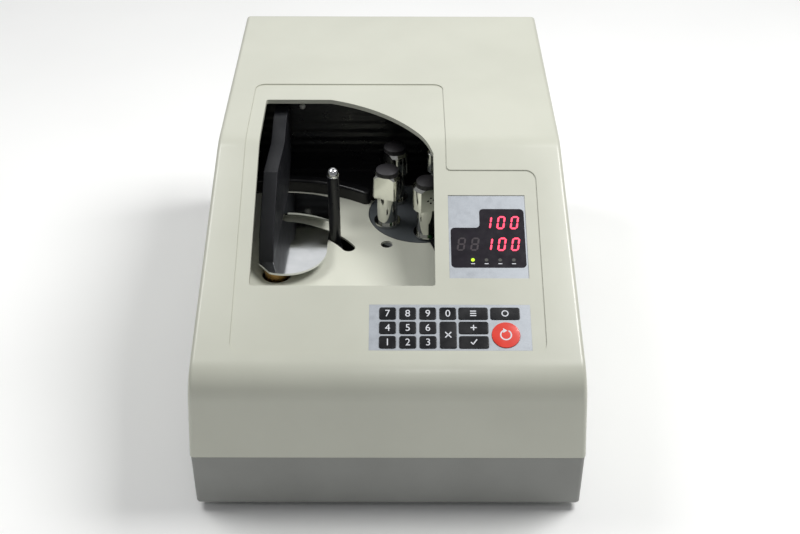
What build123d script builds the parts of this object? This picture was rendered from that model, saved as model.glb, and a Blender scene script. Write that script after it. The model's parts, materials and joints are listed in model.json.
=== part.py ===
from build123d import *
import os
from math import acos, cos, degrees, pi, radians, sin, sqrt, tan

os.makedirs("parts", exist_ok=True)

# Table-top bundle counter for banknotes. Millimetres and degrees.
# Frame: X to the operator's right, Y to the rear, Z up. The origin is on the
# table, under the middle of the machine. "front" distances are measured
# rearwards from the front face, and "rise" distances up the sloping panel.

# ---------------------------------------------------------------- sizes
# Casing
BODY_WIDTH = 320.0
BODY_DEPTH = 474.0
BASE_HEIGHT = 53.2
COVER_TOP = 225.2            # top of the cover above the underside of the base
FOLD_FRONT = 211.9           # where the sloping panel meets the flat top
SLOPE_ANGLE = 23.51
DRAFT_ANGLE = 4.19           # lean of the cover's sides and rear
NOSE_RADIUS = 30.0
FOLD_RADIUS = 45.0
EDGE_RADIUS = 4.0
COVER_WALL = 3.2
BASE_SHEET = 1.5
BASE_INSET = 0.6             # the base stands back from the cover
BASE_BEND = 1.4
FLANGE_HEIGHT = 12.0
FLANGE_GAP = 1.6             # between the cover's inner face and the base flange
FOOT_HEIGHT = 8.0
FOOT_RADIUS = 11.0
FOOT_INSET = 32.0

# Cover screws
SCREW_RISE = 6.0             # above the seam
SCREW_SHANK = 1.5
SCREW_HEAD_RADIUS = 3.6
SCREW_HEAD = 1.2
SCREW_SINK = 2.2
SCREW_TIP = 2.0              # past the flange
SCREW_FRONTS = (110.0, 380.0)

# Sunken frame on the cover, and the opening inside it
FRAME_DEPTH = 1.0
FRAME_LEFT = -124.0
FRAME_RIGHT = 124.5
FRAME_STEP_X = 49.0
FRAME_FOOT_RISE = 26.0
FRAME_STEP_RISE = 199.0
FRAME_REAR = 312.0
FRAME_CORNER = 9.0
FRAME_NOTCH = 3.5
OPENING_LEFT = -112.0
OPENING_RIGHT = 38.0
OPENING_FRONT = 79.8
OPENING_REAR = 283.3
OPENING_SWEEP = 145.3        # radius of the curved corner, about the hub
OPENING_CORNER = 2.0
LIP_WIDTH = 2.6
LIP_DEPTH = 5.0

# Keypad
OVERLAY = 0.8                # thickness of the two silver overlays
KEYPAD_X = 49.0
KEYPAD_RISE = 49.1
KEYPAD_WIDTH = 128.0
KEYPAD_HEIGHT = 40.6
OVERLAY_LEDGE = 0.8
KEY_PITCH_X = 15.9
KEY_PITCH_RISE = 12.7
KEY_FIRST_X = -0.3
KEY_TOP_RISE = 61.3
KEY_WIDTH = 13.2
KEY_HEIGHT = 10.8
WIDE_KEY_WIDTH = 23.3
WIDE_KEY_X = (67.45, 92.75)
RESET_KEY_RADIUS = 11.2
KEY_CORNER = 1.8
KEY_PROUD = 0.7
KEY_TRAVEL = 0.6
KEY_GAP = 0.15
CLEAR_COLUMN = 3               # the column below key 0
BETWEEN_ROWS = 1.5             # middle of the two lower rows
KEY_SKIRT = 0.5
KEY_SKIRT_THICK = 0.8
KEY_EDGE = 0.35
OVERLAY_FIT = 0.05
SWITCH_HEIGHT = 2.4
SWITCH_RADIUS = 2.5

# Circuit boards
BOARD = 1.6
BOARD_MARGIN = 9.0
BOARD_STAND = 5.0
POST_RADIUS = 2.0
CONTROL_AT = (0.0, 34.0)
CONTROL_SIZE = (180.0, 36.0)
CONTROL_CHIPS = (
    (-70.0, 22.0, 14.0, 9.0),
    (-30.0, 28.0, 18.0, 3.0),
    (25.0, 16.0, 16.0, 4.0),
    (72.0, 20.0, 14.0, 9.0),
)
SUPPLY_AT = (95.0, 390.0)
SUPPLY_SIZE = (100.0, 70.0)
SUPPLY_PARTS = ((-30.0, 32.0, 40.0, 28.0), (8.0, 24.0, 24.0, 20.0), (36.0, 14.0, 44.0, 24.0))

# Display
DISPLAY_X = 81.65
DISPLAY_RISE = 133.7
DISPLAY_WIDTH = 64.3
DISPLAY_HEIGHT = 80.2
DISPLAY_SINK = 0.6
WINDOW_LEFT = 51.2
WINDOW_RIGHT = 112.3
WINDOW_STEP_X = 75.3
WINDOW_FOOT = 103.8
WINDOW_STEP = 142.0
WINDOW_HEAD = 160.4
WINDOW_CORNER = 3.5
WINDOW_THICK = 2.0
WINDOW_GAP = 0.15
DIGIT_PITCH = 11.1
DIGIT_FIRST_X = 59.8
DIGIT_ROWS = ((147.0, 2), (126.1, 0))   # rise of each row and its first column
DIGIT_COLUMNS = 5
DIGIT_BLOCK = 17.5
LAMP_RISE = 111.0
LAMP_FIRST_X = 68.8
LAMP_COUNT = 4
LAMP_RADIUS = 1.4
DIGIT_DEPTH = 7.0

# Chamber
DECK_TOP = 130.0             # above the underside of the base
DECK_SHEET = 2.0
DECK_HALF_WIDTH = 147.0
DECK_FRONT = 60.0
DECK_REAR = 330.0
LINER_SHEET = 1.4
LINER_LEFT = -138.0
LINER_RIGHT = 112.0
LINER_FRONT = 175.0
LINER_REAR = 316.0
LINER_CLEARANCE = 2.0
GUIDE_INNER = 131.0
GUIDE_WIDTH = 10.0
GUIDE_HEIGHT = 13.0
GUIDE_ANGLES = (57.0, 103.0)
SENSOR_AT = (-2.2, 189.1)
SENSOR_RADIUS = 5.3

# Hub, holder and note table
HUB_X = -96.7
HUB_FRONT = 144.5
HUB_HOLE = 12.8
HUB_RADIUS = 10.5
HUB_SHAFT = 6.0
HUB_FLANGE = 4.0
HUB_FLANGE_RADIUS = 14.5
BUSH_RADIUS = 11.0
BUSH_FLANGE_RADIUS = 18.0
BUSH_LENGTH = 32.0
TABLE_RISE = 11.1            # top of the note table above the deck
TABLE_SHEET = 2.0
TABLE_RIGHT = 43.0           # edges of the table measured from the hub
TABLE_LEFT = -15.1
TABLE_SWEEP = 112.0
TABLE_SLOT_INNER = 64.0
TABLE_SLOT_OUTER = 79.0
TABLE_SLOT_END = 84.5        # heading of the slot's closed end, less its rounding
TABLE_HEEL = 0.7               # Y where the table's left edge turns in, from the hub
TABLE_NOSE = ((-5.0, -12.4), (30.7, -6.2), (42.6, 18.0))
WALL_THICK = 12.6
WALL_YAW = 2.4
WALL_FACE_X = -2.6           # right face of the wall beside the hub
WALL_CORNER = 0.8
WALL_PROFILE = (             # along the wall from the hub, and above the table
    (1.5, 0.0),
    (13.5, 20.9),
    (53.8, 52.0),
    (57.5, 56.1),
    (109.1, 55.6),
    (132.8, 68.8),
    (150.9, 70.2),
    (150.9, 24.0),
    (126.0, 4.0),
    (112.0, 0.0),
)

# Clamp
SLOT_RADIUS = 72.25
SLOT_WIDTH = 11.7
SLOT_ANGLES = (33.0, 87.0)
ROD_RADIUS = 5.2
ROD_ANGLE = 48.3
ROD_TOP = 65.0               # above the deck
BALL_RADIUS = 5.5
BALL_RISE = 3.2
SPIGOT_RADIUS = 3.5
ARM_THICK = 6.0
ARM_WIDTH = 13.0
ARM_RING = 16.0
ARM_DROP = 8.0               # arm's top below the deck's top face

# Carousel
CAROUSEL_X = 28.7
CAROUSEL_FRONT = 239.4
DISC_RADIUS = 47.6
DISC_THICK = 4.0
DISC_GAP = 0.6
SPINDLES = 5
SPINDLE_CIRCLE = 34.2
SPINDLE_FIRST = -153.6
SUCTION_FIRST = 72.0         # heading of the first spindle's holes
SUCTION_ADVANCE = 3            # steps of the circle from one spindle's heading to the next
SUN_TEETH = 50
PINION_TEETH = 25
PRESSURE_ANGLE = 20.0
DEDENDUM = 1.25                # root depth of a tooth in modules
BACKLASH = 0.24              # taken off each tooth's thickness
PINION_WIDTH = 5.5
SPINDLE_JOURNAL = 5.0
BASE_RING = 12.0
COLUMN_RADIUS = 9.25
SLEEVE_RADIUS = 13.2
SLEEVE_FLAT = 9.6
SLEEVE_FOOT = 30.4           # above the deck
SLEEVE_TOP = 52.9
SLEEVE_BEVEL = 2.4
CAP_RADIUS = 10.0
CAP_TOP = 58.9
CAP_PLUG = 7.0
VACUUM_BORE = 2.5
SUCTION_HOLE = 0.9
SUCTION_SPREAD = 2.6
SUCTION_HOLES = 4
RING_HEIGHT = 3.0
PLUG_DEPTH = 3.0
CAP_DOME = 2.2
GEAR_DROP = 2.0              # gaps between the disc, the gears and the pulleys
SUN_BOSS = 5.0
SUN_CLEARANCE = 0.5

# Shafts, pulleys and motors
SHAFT_RADIUS = 6.0
BOSS_WALL = 6.0                # metal round the shaft in its flange, bearing and gear
RUNNING = 0.05               # radial clearance of a shaft in its bearing
CUP_WALL = 2.5
CUP_FLANGE = 58.0
CUP_FLOOR = 3.0
CUP_GAP = 2.0
BEARING_LENGTH = 20.0
PULLEY_RADIUS = 22.0
MOTOR_PULLEY_RADIUS = 11.0
PULLEY_WIDTH = 8.0
PULLEY_FLANGE = 1.0
PULLEY_RIM = 2.2             # flange height above the groove
BELT_WIDTH = 5.6
BELT_THICK = 1.5
BELT_GAP = 0.1
MOTOR_OFFSET = (56.0, 48.0)  # carousel motor from the turntable's axis
MOTOR_RADIUS = 21.0
MOTOR_SHAFT = 3.0
MOTOR_BORE = 14.0
MOTOR_PLATE = 18.0
MOTOR_PLATE_THICK = 3.0
SWING_MOTOR_RADIUS = 24.0

# Vacuum
PUMP_AT = (-85.0, 375.0)
PUMP_SIZE = (60.0, 60.0, 52.0)
PUMP_MOTOR_RADIUS = 20.0
PUMP_MOTOR_LENGTH = 40.0
PORT_LENGTH = 6.0
HOSE_RADIUS = 4.0
HOSE_BEND = 25.0
HOSE_SWEEP = 30.0
UNION_RADIUS = 9.0
UNION_GRIP = 10.0
UNION_FLOOR = 10.0

# Rear panel: mains inlet with a switch beside it
INLET_X = -70.0
INLET_RISE = 26.0
INLET_FACE = (56.0, 30.0)
INLET_BODY = (50.0, 25.0)
INLET_DEPTH = 24.0
INLET_LIP = 2.0
SOCKET_SIZE = (24.0, 16.6)
SOCKET_DEPTH = 15.0
SOCKET_SHIFT = -11.0
PIN_SPACING = 7.0
PIN_SIZE = (2.0, 4.0)
PIN_SHORT = 4.0              # pins end this far inside the mouth
ROCKER_SIZE = (13.0, 20.0)
ROCKER_SHIFT = 13.5
ROCKER_TILT = 8.0
ROCKER_GAP = 1.0
ROCKER_PIN = 1.5
ROCKER_PIN_LENGTH = 2.0
ROCKER_HOLLOW = 2.2          # front face at the pivot's height
ROCKER_BACK = 6.0
ROCKER_AXIS_IN = 4.8         # pivot inside the rear face
VENT_WIDTH = 3.0
VENT_HEIGHT = 28.0
VENT_COUNT = 14
VENT_PITCH = 7.0
VENT_X = 70.0

# ---------------------------------------------------------------- derived places
FRONT_Y = -BODY_DEPTH / 2
FLOOR_Z = FOOT_HEIGHT + BASE_SHEET
SEAM_Z = FOOT_HEIGHT + BASE_HEIGHT
TOP_Z = FOOT_HEIGHT + COVER_TOP
DECK_Z = FOOT_HEIGHT + DECK_TOP
SLOPE_FOOT_Z = TOP_Z - FOLD_FRONT * tan(radians(SLOPE_ANGLE))
DRAFT = tan(radians(DRAFT_ANGLE))
MODULE = 2 * SPINDLE_CIRCLE / (SUN_TEETH + PINION_TEETH)
REAR_FACE_Y = BODY_DEPTH / 2 - BASE_INSET


def behind(distance):
    """Y of a point this far behind the front face."""
    return FRONT_Y + distance


def along(rise):
    """Distance behind the front face of a point this far up the slope."""
    return rise * cos(radians(SLOPE_ANGLE))


HUB = Vector(HUB_X, behind(HUB_FRONT))
CAROUSEL = Vector(CAROUSEL_X, behind(CAROUSEL_FRONT))
MOTOR = CAROUSEL + Vector(*MOTOR_OFFSET)


def polar(centre, radius, angle):
    """Plan point at a radius and an angle from a centre."""
    turn = radians(angle)
    return (centre.X + radius * cos(turn), centre.Y + radius * sin(turn))


def level(z):
    """Horizontal sketch plane."""
    return Plane.XY.offset(z)


def level_at(centre, z):
    """Horizontal sketch plane centred over a plan point."""
    return Plane(origin=(centre.X, centre.Y, z))


panel_plane = Plane(
    origin=(0, FRONT_Y, SLOPE_FOOT_Z),
    x_dir=(1, 0, 0),
    z_dir=(0, -sin(radians(SLOPE_ANGLE)), cos(radians(SLOPE_ANGLE))),
)


# ---------------------------------------------------------------- casing
def cover_form(inset=0.0):
    """The cover's outer form, or the same form moved inwards and open below."""
    below = SEAM_Z - (inset + BASE_HEIGHT / 2 if inset else 0)
    rear_top = BODY_DEPTH / 2 - (TOP_Z - SEAM_Z) * DRAFT
    rear_foot = rear_top + (TOP_Z - below) * DRAFT
    half_top = BODY_WIDTH / 2 - (TOP_Z - SEAM_Z) * DRAFT
    half_foot = half_top + (TOP_Z - below) * DRAFT
    with BuildPart() as form:
        with BuildSketch(Plane.YZ) as side:
            with BuildLine():
                Polyline(
                    (FRONT_Y, below),
                    (FRONT_Y, SLOPE_FOOT_Z),
                    (behind(FOLD_FRONT), TOP_Z),
                    (rear_top, TOP_Z),
                    (rear_foot, below),
                    close=True,
                )
            make_face()
            if inset:
                offset(amount=-inset, kind=Kind.INTERSECTION)
            nose = side.vertices().sort_by_distance((FRONT_Y, SLOPE_FOOT_Z))[0]
            fillet(nose, NOSE_RADIUS - inset)
            fold = side.vertices().sort_by_distance((behind(FOLD_FRONT), TOP_Z))[0]
            fillet(fold, FOLD_RADIUS - inset)
        extrude(amount=BODY_WIDTH, both=True)
        with BuildSketch(Plane.XZ):
            with BuildLine():
                Polyline(
                    (-half_foot, below),
                    (-half_top, TOP_Z),
                    (half_top, TOP_Z),
                    (half_foot, below),
                    close=True,
                )
            make_face()
            if inset:
                offset(amount=-inset, kind=Kind.INTERSECTION)
        extrude(amount=BODY_DEPTH, both=True, mode=Mode.INTERSECT)
        if not inset:
            sides = form.faces().sort_by(Axis.X)
            rim = (sides[0].edges() + sides[-1].edges()).filter_by(
                lambda edge: edge.center().Z > SEAM_Z + 1
            )
            rear_top_edge = form.faces().sort_by(Axis.Z)[-1].edges().sort_by(Axis.Y)[-1]
            fillet(rim + [rear_top_edge], EDGE_RADIUS)
    return form.part


def frame_outline():
    """Plan outline of the sunken frame: a wide foot and a tall left part."""
    foot = behind(along(FRAME_FOOT_RISE))
    step = behind(along(FRAME_STEP_RISE))
    with BuildSketch(mode=Mode.PRIVATE) as outline:
        with BuildLine():
            Polyline(
                (FRAME_LEFT, foot),
                (FRAME_RIGHT, foot),
                (FRAME_RIGHT, step),
                (FRAME_STEP_X, step),
                (FRAME_STEP_X, behind(FRAME_REAR)),
                (FRAME_LEFT, behind(FRAME_REAR)),
                close=True,
            )
        make_face()
        corners = outline.vertices().sort_by_distance((FRAME_STEP_X, step))
        fillet(corners[0], FRAME_NOTCH)
        fillet(outline.vertices().sort_by_distance((FRAME_STEP_X, step))[2:], FRAME_CORNER)
    return outline.sketch


def opening_outline(grow=0.0):
    """Plan outline of the opening: a rectangle whose far right corner is an arc about the hub."""
    sweep = OPENING_SWEEP
    rear_side = (HUB.X + sqrt(sweep**2 - (OPENING_REAR - HUB_FRONT) ** 2), behind(OPENING_REAR))
    right_side = (OPENING_RIGHT, HUB.Y + sqrt(sweep**2 - (OPENING_RIGHT - HUB.X) ** 2))
    with BuildSketch(mode=Mode.PRIVATE) as outline:
        with BuildLine():
            Polyline(
                right_side,
                (OPENING_RIGHT, behind(OPENING_FRONT)),
                (OPENING_LEFT, behind(OPENING_FRONT)),
                (OPENING_LEFT, behind(OPENING_REAR)),
                rear_side,
            )
            RadiusArc(rear_side, right_side, sweep)
        make_face()
        square = outline.vertices().filter_by(
            lambda v: v.Y < HUB.Y or v.X < HUB.X
        )
        fillet(square, OPENING_CORNER)
        if grow:
            offset(amount=grow)
    return outline.sketch


def window_outline(grow=0.0):
    """Outline of the display window on the panel: a step at its upper left."""
    with BuildSketch(mode=Mode.PRIVATE) as outline:
        with BuildLine():
            Polyline(
                (WINDOW_LEFT, WINDOW_FOOT),
                (WINDOW_RIGHT, WINDOW_FOOT),
                (WINDOW_RIGHT, WINDOW_HEAD),
                (WINDOW_STEP_X, WINDOW_HEAD),
                (WINDOW_STEP_X, WINDOW_STEP),
                (WINDOW_LEFT, WINDOW_STEP),
                close=True,
            )
        make_face()
        fillet(outline.vertices(), WINDOW_CORNER)
        if grow:
            offset(amount=grow)
    return outline.sketch


outer_form = cover_form()
inner_form = cover_form(COVER_WALL)
frame_floor_form = cover_form(FRAME_DEPTH)
lip_form = cover_form(LIP_DEPTH)
tall = TOP_Z + COVER_WALL

with BuildPart() as sunken_frame:
    with BuildSketch():
        add(frame_outline())
    extrude(amount=tall)
    add(outer_form, mode=Mode.INTERSECT)
    add(frame_floor_form, mode=Mode.SUBTRACT)

with BuildPart() as opening_lip:
    with BuildSketch():
        add(opening_outline(LIP_WIDTH))
    extrude(amount=tall)
    add(outer_form, mode=Mode.INTERSECT)
    add(lip_form, mode=Mode.SUBTRACT)

KEYPAD_POCKET = FRAME_DEPTH + OVERLAY
DISPLAY_POCKET = FRAME_DEPTH + DISPLAY_SINK + OVERLAY
SIDE_SCREW_X = BODY_WIDTH / 2 - SCREW_RISE * DRAFT - SCREW_SINK
FLANGE_X = BODY_WIDTH / 2 - COVER_WALL - FLANGE_HEIGHT * DRAFT - FLANGE_GAP
FLANGE_Y = BODY_DEPTH / 2 - COVER_WALL - FLANGE_HEIGHT * DRAFT - FLANGE_GAP
SCREW_LENGTH = SIDE_SCREW_X - FLANGE_X + BASE_SHEET + SCREW_TIP
screw_planes = [
    Plane(
        origin=(side * SIDE_SCREW_X, behind(front), SEAM_Z + SCREW_RISE),
        x_dir=(0, side, 0),
        z_dir=(side, 0, 0),
    )
    for side in (-1, 1)
    for front in SCREW_FRONTS
]

with BuildPart() as top_cover:
    add(outer_form)
    add(inner_form, mode=Mode.SUBTRACT)
    add(opening_lip.part)
    add(sunken_frame.part, mode=Mode.SUBTRACT)
    with BuildSketch():
        add(opening_outline())
    extrude(amount=tall, mode=Mode.SUBTRACT)
    with BuildSketch(panel_plane.offset(-KEYPAD_POCKET)):
        with Locations((KEYPAD_X, KEYPAD_RISE)):
            Rectangle(KEYPAD_WIDTH, KEYPAD_HEIGHT)
    extrude(amount=KEYPAD_POCKET, mode=Mode.SUBTRACT)
    with BuildSketch(panel_plane.offset(-KEYPAD_POCKET)):
        with Locations((KEYPAD_X, KEYPAD_RISE)):
            Rectangle(KEYPAD_WIDTH - 2 * OVERLAY_LEDGE, KEYPAD_HEIGHT - 2 * OVERLAY_LEDGE)
    extrude(amount=-COVER_WALL, mode=Mode.SUBTRACT)
    with BuildSketch(panel_plane.offset(-DISPLAY_POCKET)):
        with Locations((DISPLAY_X, DISPLAY_RISE)):
            Rectangle(DISPLAY_WIDTH, DISPLAY_HEIGHT)
    extrude(amount=DISPLAY_POCKET, mode=Mode.SUBTRACT)
    with BuildSketch(panel_plane.offset(-DISPLAY_POCKET)):
        add(window_outline(WINDOW_GAP))
    extrude(amount=-COVER_WALL, mode=Mode.SUBTRACT)
    for plane in screw_planes:
        with BuildSketch(plane):
            Circle(SCREW_HEAD_RADIUS + KEY_GAP)
        extrude(amount=2 * SCREW_SINK, mode=Mode.SUBTRACT)
        with BuildSketch(plane):
            Circle(SCREW_SHANK + KEY_GAP)
        extrude(amount=-COVER_WALL, mode=Mode.SUBTRACT)
top_cover.part.label = "top_cover"
export_step(top_cover.part, "parts/top_cover.step")

with BuildPart() as cover_screws:
    for plane in screw_planes:
        with BuildSketch(plane):
            Circle(SCREW_HEAD_RADIUS)
        extrude(amount=SCREW_HEAD)
        with BuildSketch(plane):
            Circle(SCREW_SHANK)
        extrude(amount=-SCREW_LENGTH)
cover_screws.part.label = "cover_screws"
export_step(cover_screws.part, "parts/cover_screws.step")

rear_plane = Plane(origin=(0, REAR_FACE_Y, 0), x_dir=(-1, 0, 0), z_dir=(0, 1, 0))
INLET_Z = FOOT_HEIGHT + INLET_RISE


with BuildPart() as base_tray:
    with BuildSketch(level(FOOT_HEIGHT)):
        RectangleRounded(BODY_WIDTH - 2 * BASE_INSET, BODY_DEPTH - 2 * BASE_INSET, EDGE_RADIUS)
    extrude(amount=BASE_HEIGHT)
    bends = base_tray.faces().sort_by(Axis.Z)
    fillet(bends[0].edges() + bends[-1].edges(), BASE_BEND)
    with BuildSketch(level(SEAM_Z)):
        RectangleRounded(2 * FLANGE_X, 2 * FLANGE_Y, EDGE_RADIUS)
    extrude(amount=FLANGE_HEIGHT)
    with BuildSketch(level(FLOOR_Z)):
        RectangleRounded(
            BODY_WIDTH - 2 * BASE_INSET - 2 * BASE_SHEET,
            BODY_DEPTH - 2 * BASE_INSET - 2 * BASE_SHEET,
            EDGE_RADIUS - BASE_SHEET,
        )
    extrude(amount=BASE_HEIGHT - 2 * BASE_SHEET, mode=Mode.SUBTRACT)
    with BuildSketch(level(SEAM_Z - BASE_SHEET)):
        RectangleRounded(
            2 * FLANGE_X - 2 * BASE_SHEET,
            2 * FLANGE_Y - 2 * BASE_SHEET,
            EDGE_RADIUS - BASE_SHEET,
        )
    extrude(amount=FLANGE_HEIGHT + BASE_SHEET, mode=Mode.SUBTRACT)
    with BuildSketch(rear_plane.offset(-2 * BASE_SHEET)):
        with Locations((-INLET_X, INLET_Z)):
            Rectangle(INLET_BODY[0] + 2 * KEY_GAP, INLET_BODY[1] + 2 * KEY_GAP)
        with Locations((-VENT_X, INLET_Z)):
            with GridLocations(VENT_PITCH, 0, VENT_COUNT, 1):
                SlotOverall(VENT_HEIGHT, VENT_WIDTH, rotation=90)
    extrude(amount=4 * BASE_SHEET, mode=Mode.SUBTRACT)
    for plane in screw_planes:
        with BuildSketch(plane):
            Circle(SCREW_SHANK)
        extrude(amount=-SCREW_LENGTH, mode=Mode.SUBTRACT)
base_tray.part.label = "base_tray"
export_step(base_tray.part, "parts/base_tray.step")

with BuildPart() as rubber_feet:
    with BuildSketch():
        with GridLocations(BODY_WIDTH - 2 * FOOT_INSET, BODY_DEPTH - 2 * FOOT_INSET, 2, 2):
            Circle(FOOT_RADIUS)
    extrude(amount=FOOT_HEIGHT)
    ground = rubber_feet.faces().filter_by(Axis.Z).group_by(Axis.Z)[0]
    chamfer(ground.edges(), BASE_SHEET)
rubber_feet.part.label = "rubber_feet"
export_step(rubber_feet.part, "parts/rubber_feet.step")


# ---------------------------------------------------------------- chamber
deck_middle = (0, behind((DECK_FRONT + DECK_REAR) / 2))
deck_length = DECK_REAR - DECK_FRONT
DECK_UNDER = DECK_Z - DECK_SHEET
slot_path = CenterArc(HUB, SLOT_RADIUS, SLOT_ANGLES[0], SLOT_ANGLES[1] - SLOT_ANGLES[0])
guide_path = CenterArc(
    HUB, GUIDE_INNER + GUIDE_WIDTH / 2, GUIDE_ANGLES[0], GUIDE_ANGLES[1] - GUIDE_ANGLES[0]
)

with BuildPart() as deck_plate:
    with BuildSketch(level(DECK_UNDER)):
        with Locations(deck_middle):
            Rectangle(2 * DECK_HALF_WIDTH, deck_length)
    extrude(amount=DECK_SHEET)
    with BuildSketch(level(FLOOR_Z)):
        with Locations(deck_middle):
            with GridLocations(2 * DECK_HALF_WIDTH - DECK_SHEET, 0, 2, 1):
                Rectangle(DECK_SHEET, deck_length)
    extrude(amount=DECK_UNDER - FLOOR_Z)
    with BuildSketch(level(DECK_Z)):
        with Locations(HUB):
            Circle(HUB_HOLE)
        SlotArc(slot_path, SLOT_WIDTH)
        with Locations((SENSOR_AT[0], behind(SENSOR_AT[1]))):
            Circle(SENSOR_RADIUS)
        with Locations(CAROUSEL):
            Circle(DISC_RADIUS + DISC_GAP)
    extrude(amount=-DECK_SHEET, mode=Mode.SUBTRACT)
deck_plate.part.label = "deck_plate"
export_step(deck_plate.part, "parts/deck_plate.step")

liner_size = (LINER_RIGHT - LINER_LEFT, LINER_REAR - LINER_FRONT)
liner_middle = ((LINER_RIGHT + LINER_LEFT) / 2, behind((LINER_REAR + LINER_FRONT) / 2))

with BuildPart() as chamber_liner:
    with BuildSketch(level(DECK_Z)):
        with Locations(liner_middle):
            Rectangle(*liner_size)
        with Locations(HUB):
            Circle(GUIDE_INNER + GUIDE_WIDTH + KEY_GAP, mode=Mode.SUBTRACT)
        with Locations(CAROUSEL):
            Circle(DISC_RADIUS + DISC_GAP, mode=Mode.SUBTRACT)
    extrude(amount=LINER_SHEET)
    with BuildSketch(level(DECK_Z)):
        with Locations(liner_middle):
            Rectangle(*liner_size)
        with Locations((liner_middle[0], liner_middle[1] - LINER_SHEET)):
            Rectangle(liner_size[0] - 2 * LINER_SHEET, liner_size[1], mode=Mode.SUBTRACT)
    extrude(amount=COVER_TOP - DECK_TOP)
    add(cover_form(COVER_WALL + LINER_CLEARANCE), mode=Mode.INTERSECT)
chamber_liner.part.label = "chamber_liner"
export_step(chamber_liner.part, "parts/chamber_liner.step")

with BuildPart() as end_guide:
    with BuildSketch(level(DECK_Z)):
        SlotArc(guide_path, GUIDE_WIDTH)
    extrude(amount=GUIDE_HEIGHT)
    fillet(end_guide.faces().sort_by(Axis.Z)[-1].edges(), GUIDE_WIDTH / 4)
end_guide.part.label = "end_guide"
export_step(end_guide.part, "parts/end_guide.step")


# ---------------------------------------------------------------- holder and clamp
ARM_TOP_Z = DECK_Z - ARM_DROP
ARM_Z = ARM_TOP_Z - ARM_THICK
BUSH_TOP_Z = ARM_Z - HUB_FLANGE
BUSH_FOOT_Z = BUSH_TOP_Z - BUSH_LENGTH
TABLE_TOP_Z = DECK_Z + TABLE_RISE
TABLE_UNDER_Z = TABLE_TOP_Z - TABLE_SHEET

with BuildPart() as swing_motor:
    with BuildSketch(level_at(HUB, FLOOR_Z)):
        Circle(SWING_MOTOR_RADIUS)
    extrude(amount=BUSH_FOOT_Z - FLOOR_Z)
    chamfer(swing_motor.faces().sort_by(Axis.Z)[-1].edges(), BASE_SHEET)
    with BuildSketch(level_at(HUB, FLOOR_Z)):
        RectangleRounded(2 * SWING_MOTOR_RADIUS + MOTOR_PLATE, 2 * SWING_MOTOR_RADIUS, EDGE_RADIUS)
    extrude(amount=MOTOR_PLATE_THICK)
    with BuildSketch(level_at(HUB, BUSH_FOOT_Z)):
        Circle(HUB_SHAFT + RUNNING)
    extrude(amount=-MOTOR_BORE, mode=Mode.SUBTRACT)
swing_motor.part.label = "swing_motor"
export_step(swing_motor.part, "parts/swing_motor.step")

with BuildPart() as hub_bush:
    with BuildSketch(level_at(HUB, BUSH_FOOT_Z)):
        Circle(BUSH_FLANGE_RADIUS)
    extrude(amount=HUB_FLANGE)
    with BuildSketch(level_at(HUB, BUSH_FOOT_Z)):
        Circle(BUSH_RADIUS)
    extrude(amount=BUSH_LENGTH)
    with BuildSketch(level_at(HUB, BUSH_FOOT_Z)):
        Circle(HUB_SHAFT + RUNNING)
    extrude(amount=BUSH_LENGTH, mode=Mode.SUBTRACT)
hub_bush.part.label = "hub_bush"
export_step(hub_bush.part, "parts/hub_bush.step")

with BuildPart() as holder_hub:
    with BuildSketch(level_at(HUB, BUSH_FOOT_Z - MOTOR_BORE + HUB_FLANGE)):
        Circle(HUB_SHAFT)
    extrude(amount=BUSH_LENGTH + MOTOR_BORE - HUB_FLANGE)
    with BuildSketch(level_at(HUB, BUSH_TOP_Z)):
        Circle(HUB_FLANGE_RADIUS)
    extrude(amount=HUB_FLANGE)
    with BuildSketch(level_at(HUB, ARM_Z)):
        Circle(HUB_RADIUS)
    extrude(amount=TABLE_UNDER_Z - ARM_Z)
holder_hub.part.label = "holder_hub"
export_step(holder_hub.part, "parts/holder_hub.step")

table_slot_path = CenterArc(
    HUB, (TABLE_SLOT_INNER + TABLE_SLOT_OUTER) / 2, 0, TABLE_SLOT_END
)
table_left_rear = sqrt(TABLE_SWEEP**2 - TABLE_LEFT**2)
table_right_rear = sqrt(TABLE_SWEEP**2 - TABLE_RIGHT**2)

with BuildPart() as note_table:
    with BuildSketch(level_at(HUB, TABLE_UNDER_Z)):
        with BuildLine():
            Polyline(
                (TABLE_LEFT, table_left_rear),
                (TABLE_LEFT, TABLE_HEEL),
                TABLE_NOSE[0],
            )
            ThreePointArc(*TABLE_NOSE)
            Line(TABLE_NOSE[2], (TABLE_RIGHT, table_right_rear))
            RadiusArc((TABLE_RIGHT, table_right_rear), (TABLE_LEFT, table_left_rear), -TABLE_SWEEP)
        make_face()
    extrude(amount=TABLE_SHEET)
    with BuildSketch(level(TABLE_UNDER_Z)):
        SlotArc(table_slot_path, TABLE_SLOT_OUTER - TABLE_SLOT_INNER)
    extrude(amount=TABLE_SHEET, mode=Mode.SUBTRACT)
note_table.part.label = "note_table"
export_step(note_table.part, "parts/note_table.step")

wall_turn = radians(90 - WALL_YAW)
wall_side_plane = Plane(
    origin=(HUB.X + WALL_FACE_X, HUB.Y, TABLE_TOP_Z),
    x_dir=(cos(wall_turn), sin(wall_turn), 0),
    z_dir=(sin(wall_turn), -cos(wall_turn), 0),
)

wall_side_axis = Axis(wall_side_plane.origin, wall_side_plane.z_dir)

with BuildPart() as note_holder:
    with BuildSketch(wall_side_plane):
        with BuildLine():
            Polyline(*WALL_PROFILE, close=True)
        make_face()
    extrude(amount=-WALL_THICK)
    sides = note_holder.faces().sort_by(wall_side_axis)
    rims = (sides[0].edges() + sides[-1].edges()).filter_by(
        lambda edge: edge.center().Z > TABLE_TOP_Z + WALL_CORNER
    )
    fillet(rims, WALL_CORNER)
note_holder.part.label = "note_holder"
export_step(note_holder.part, "parts/note_holder.step")


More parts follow.
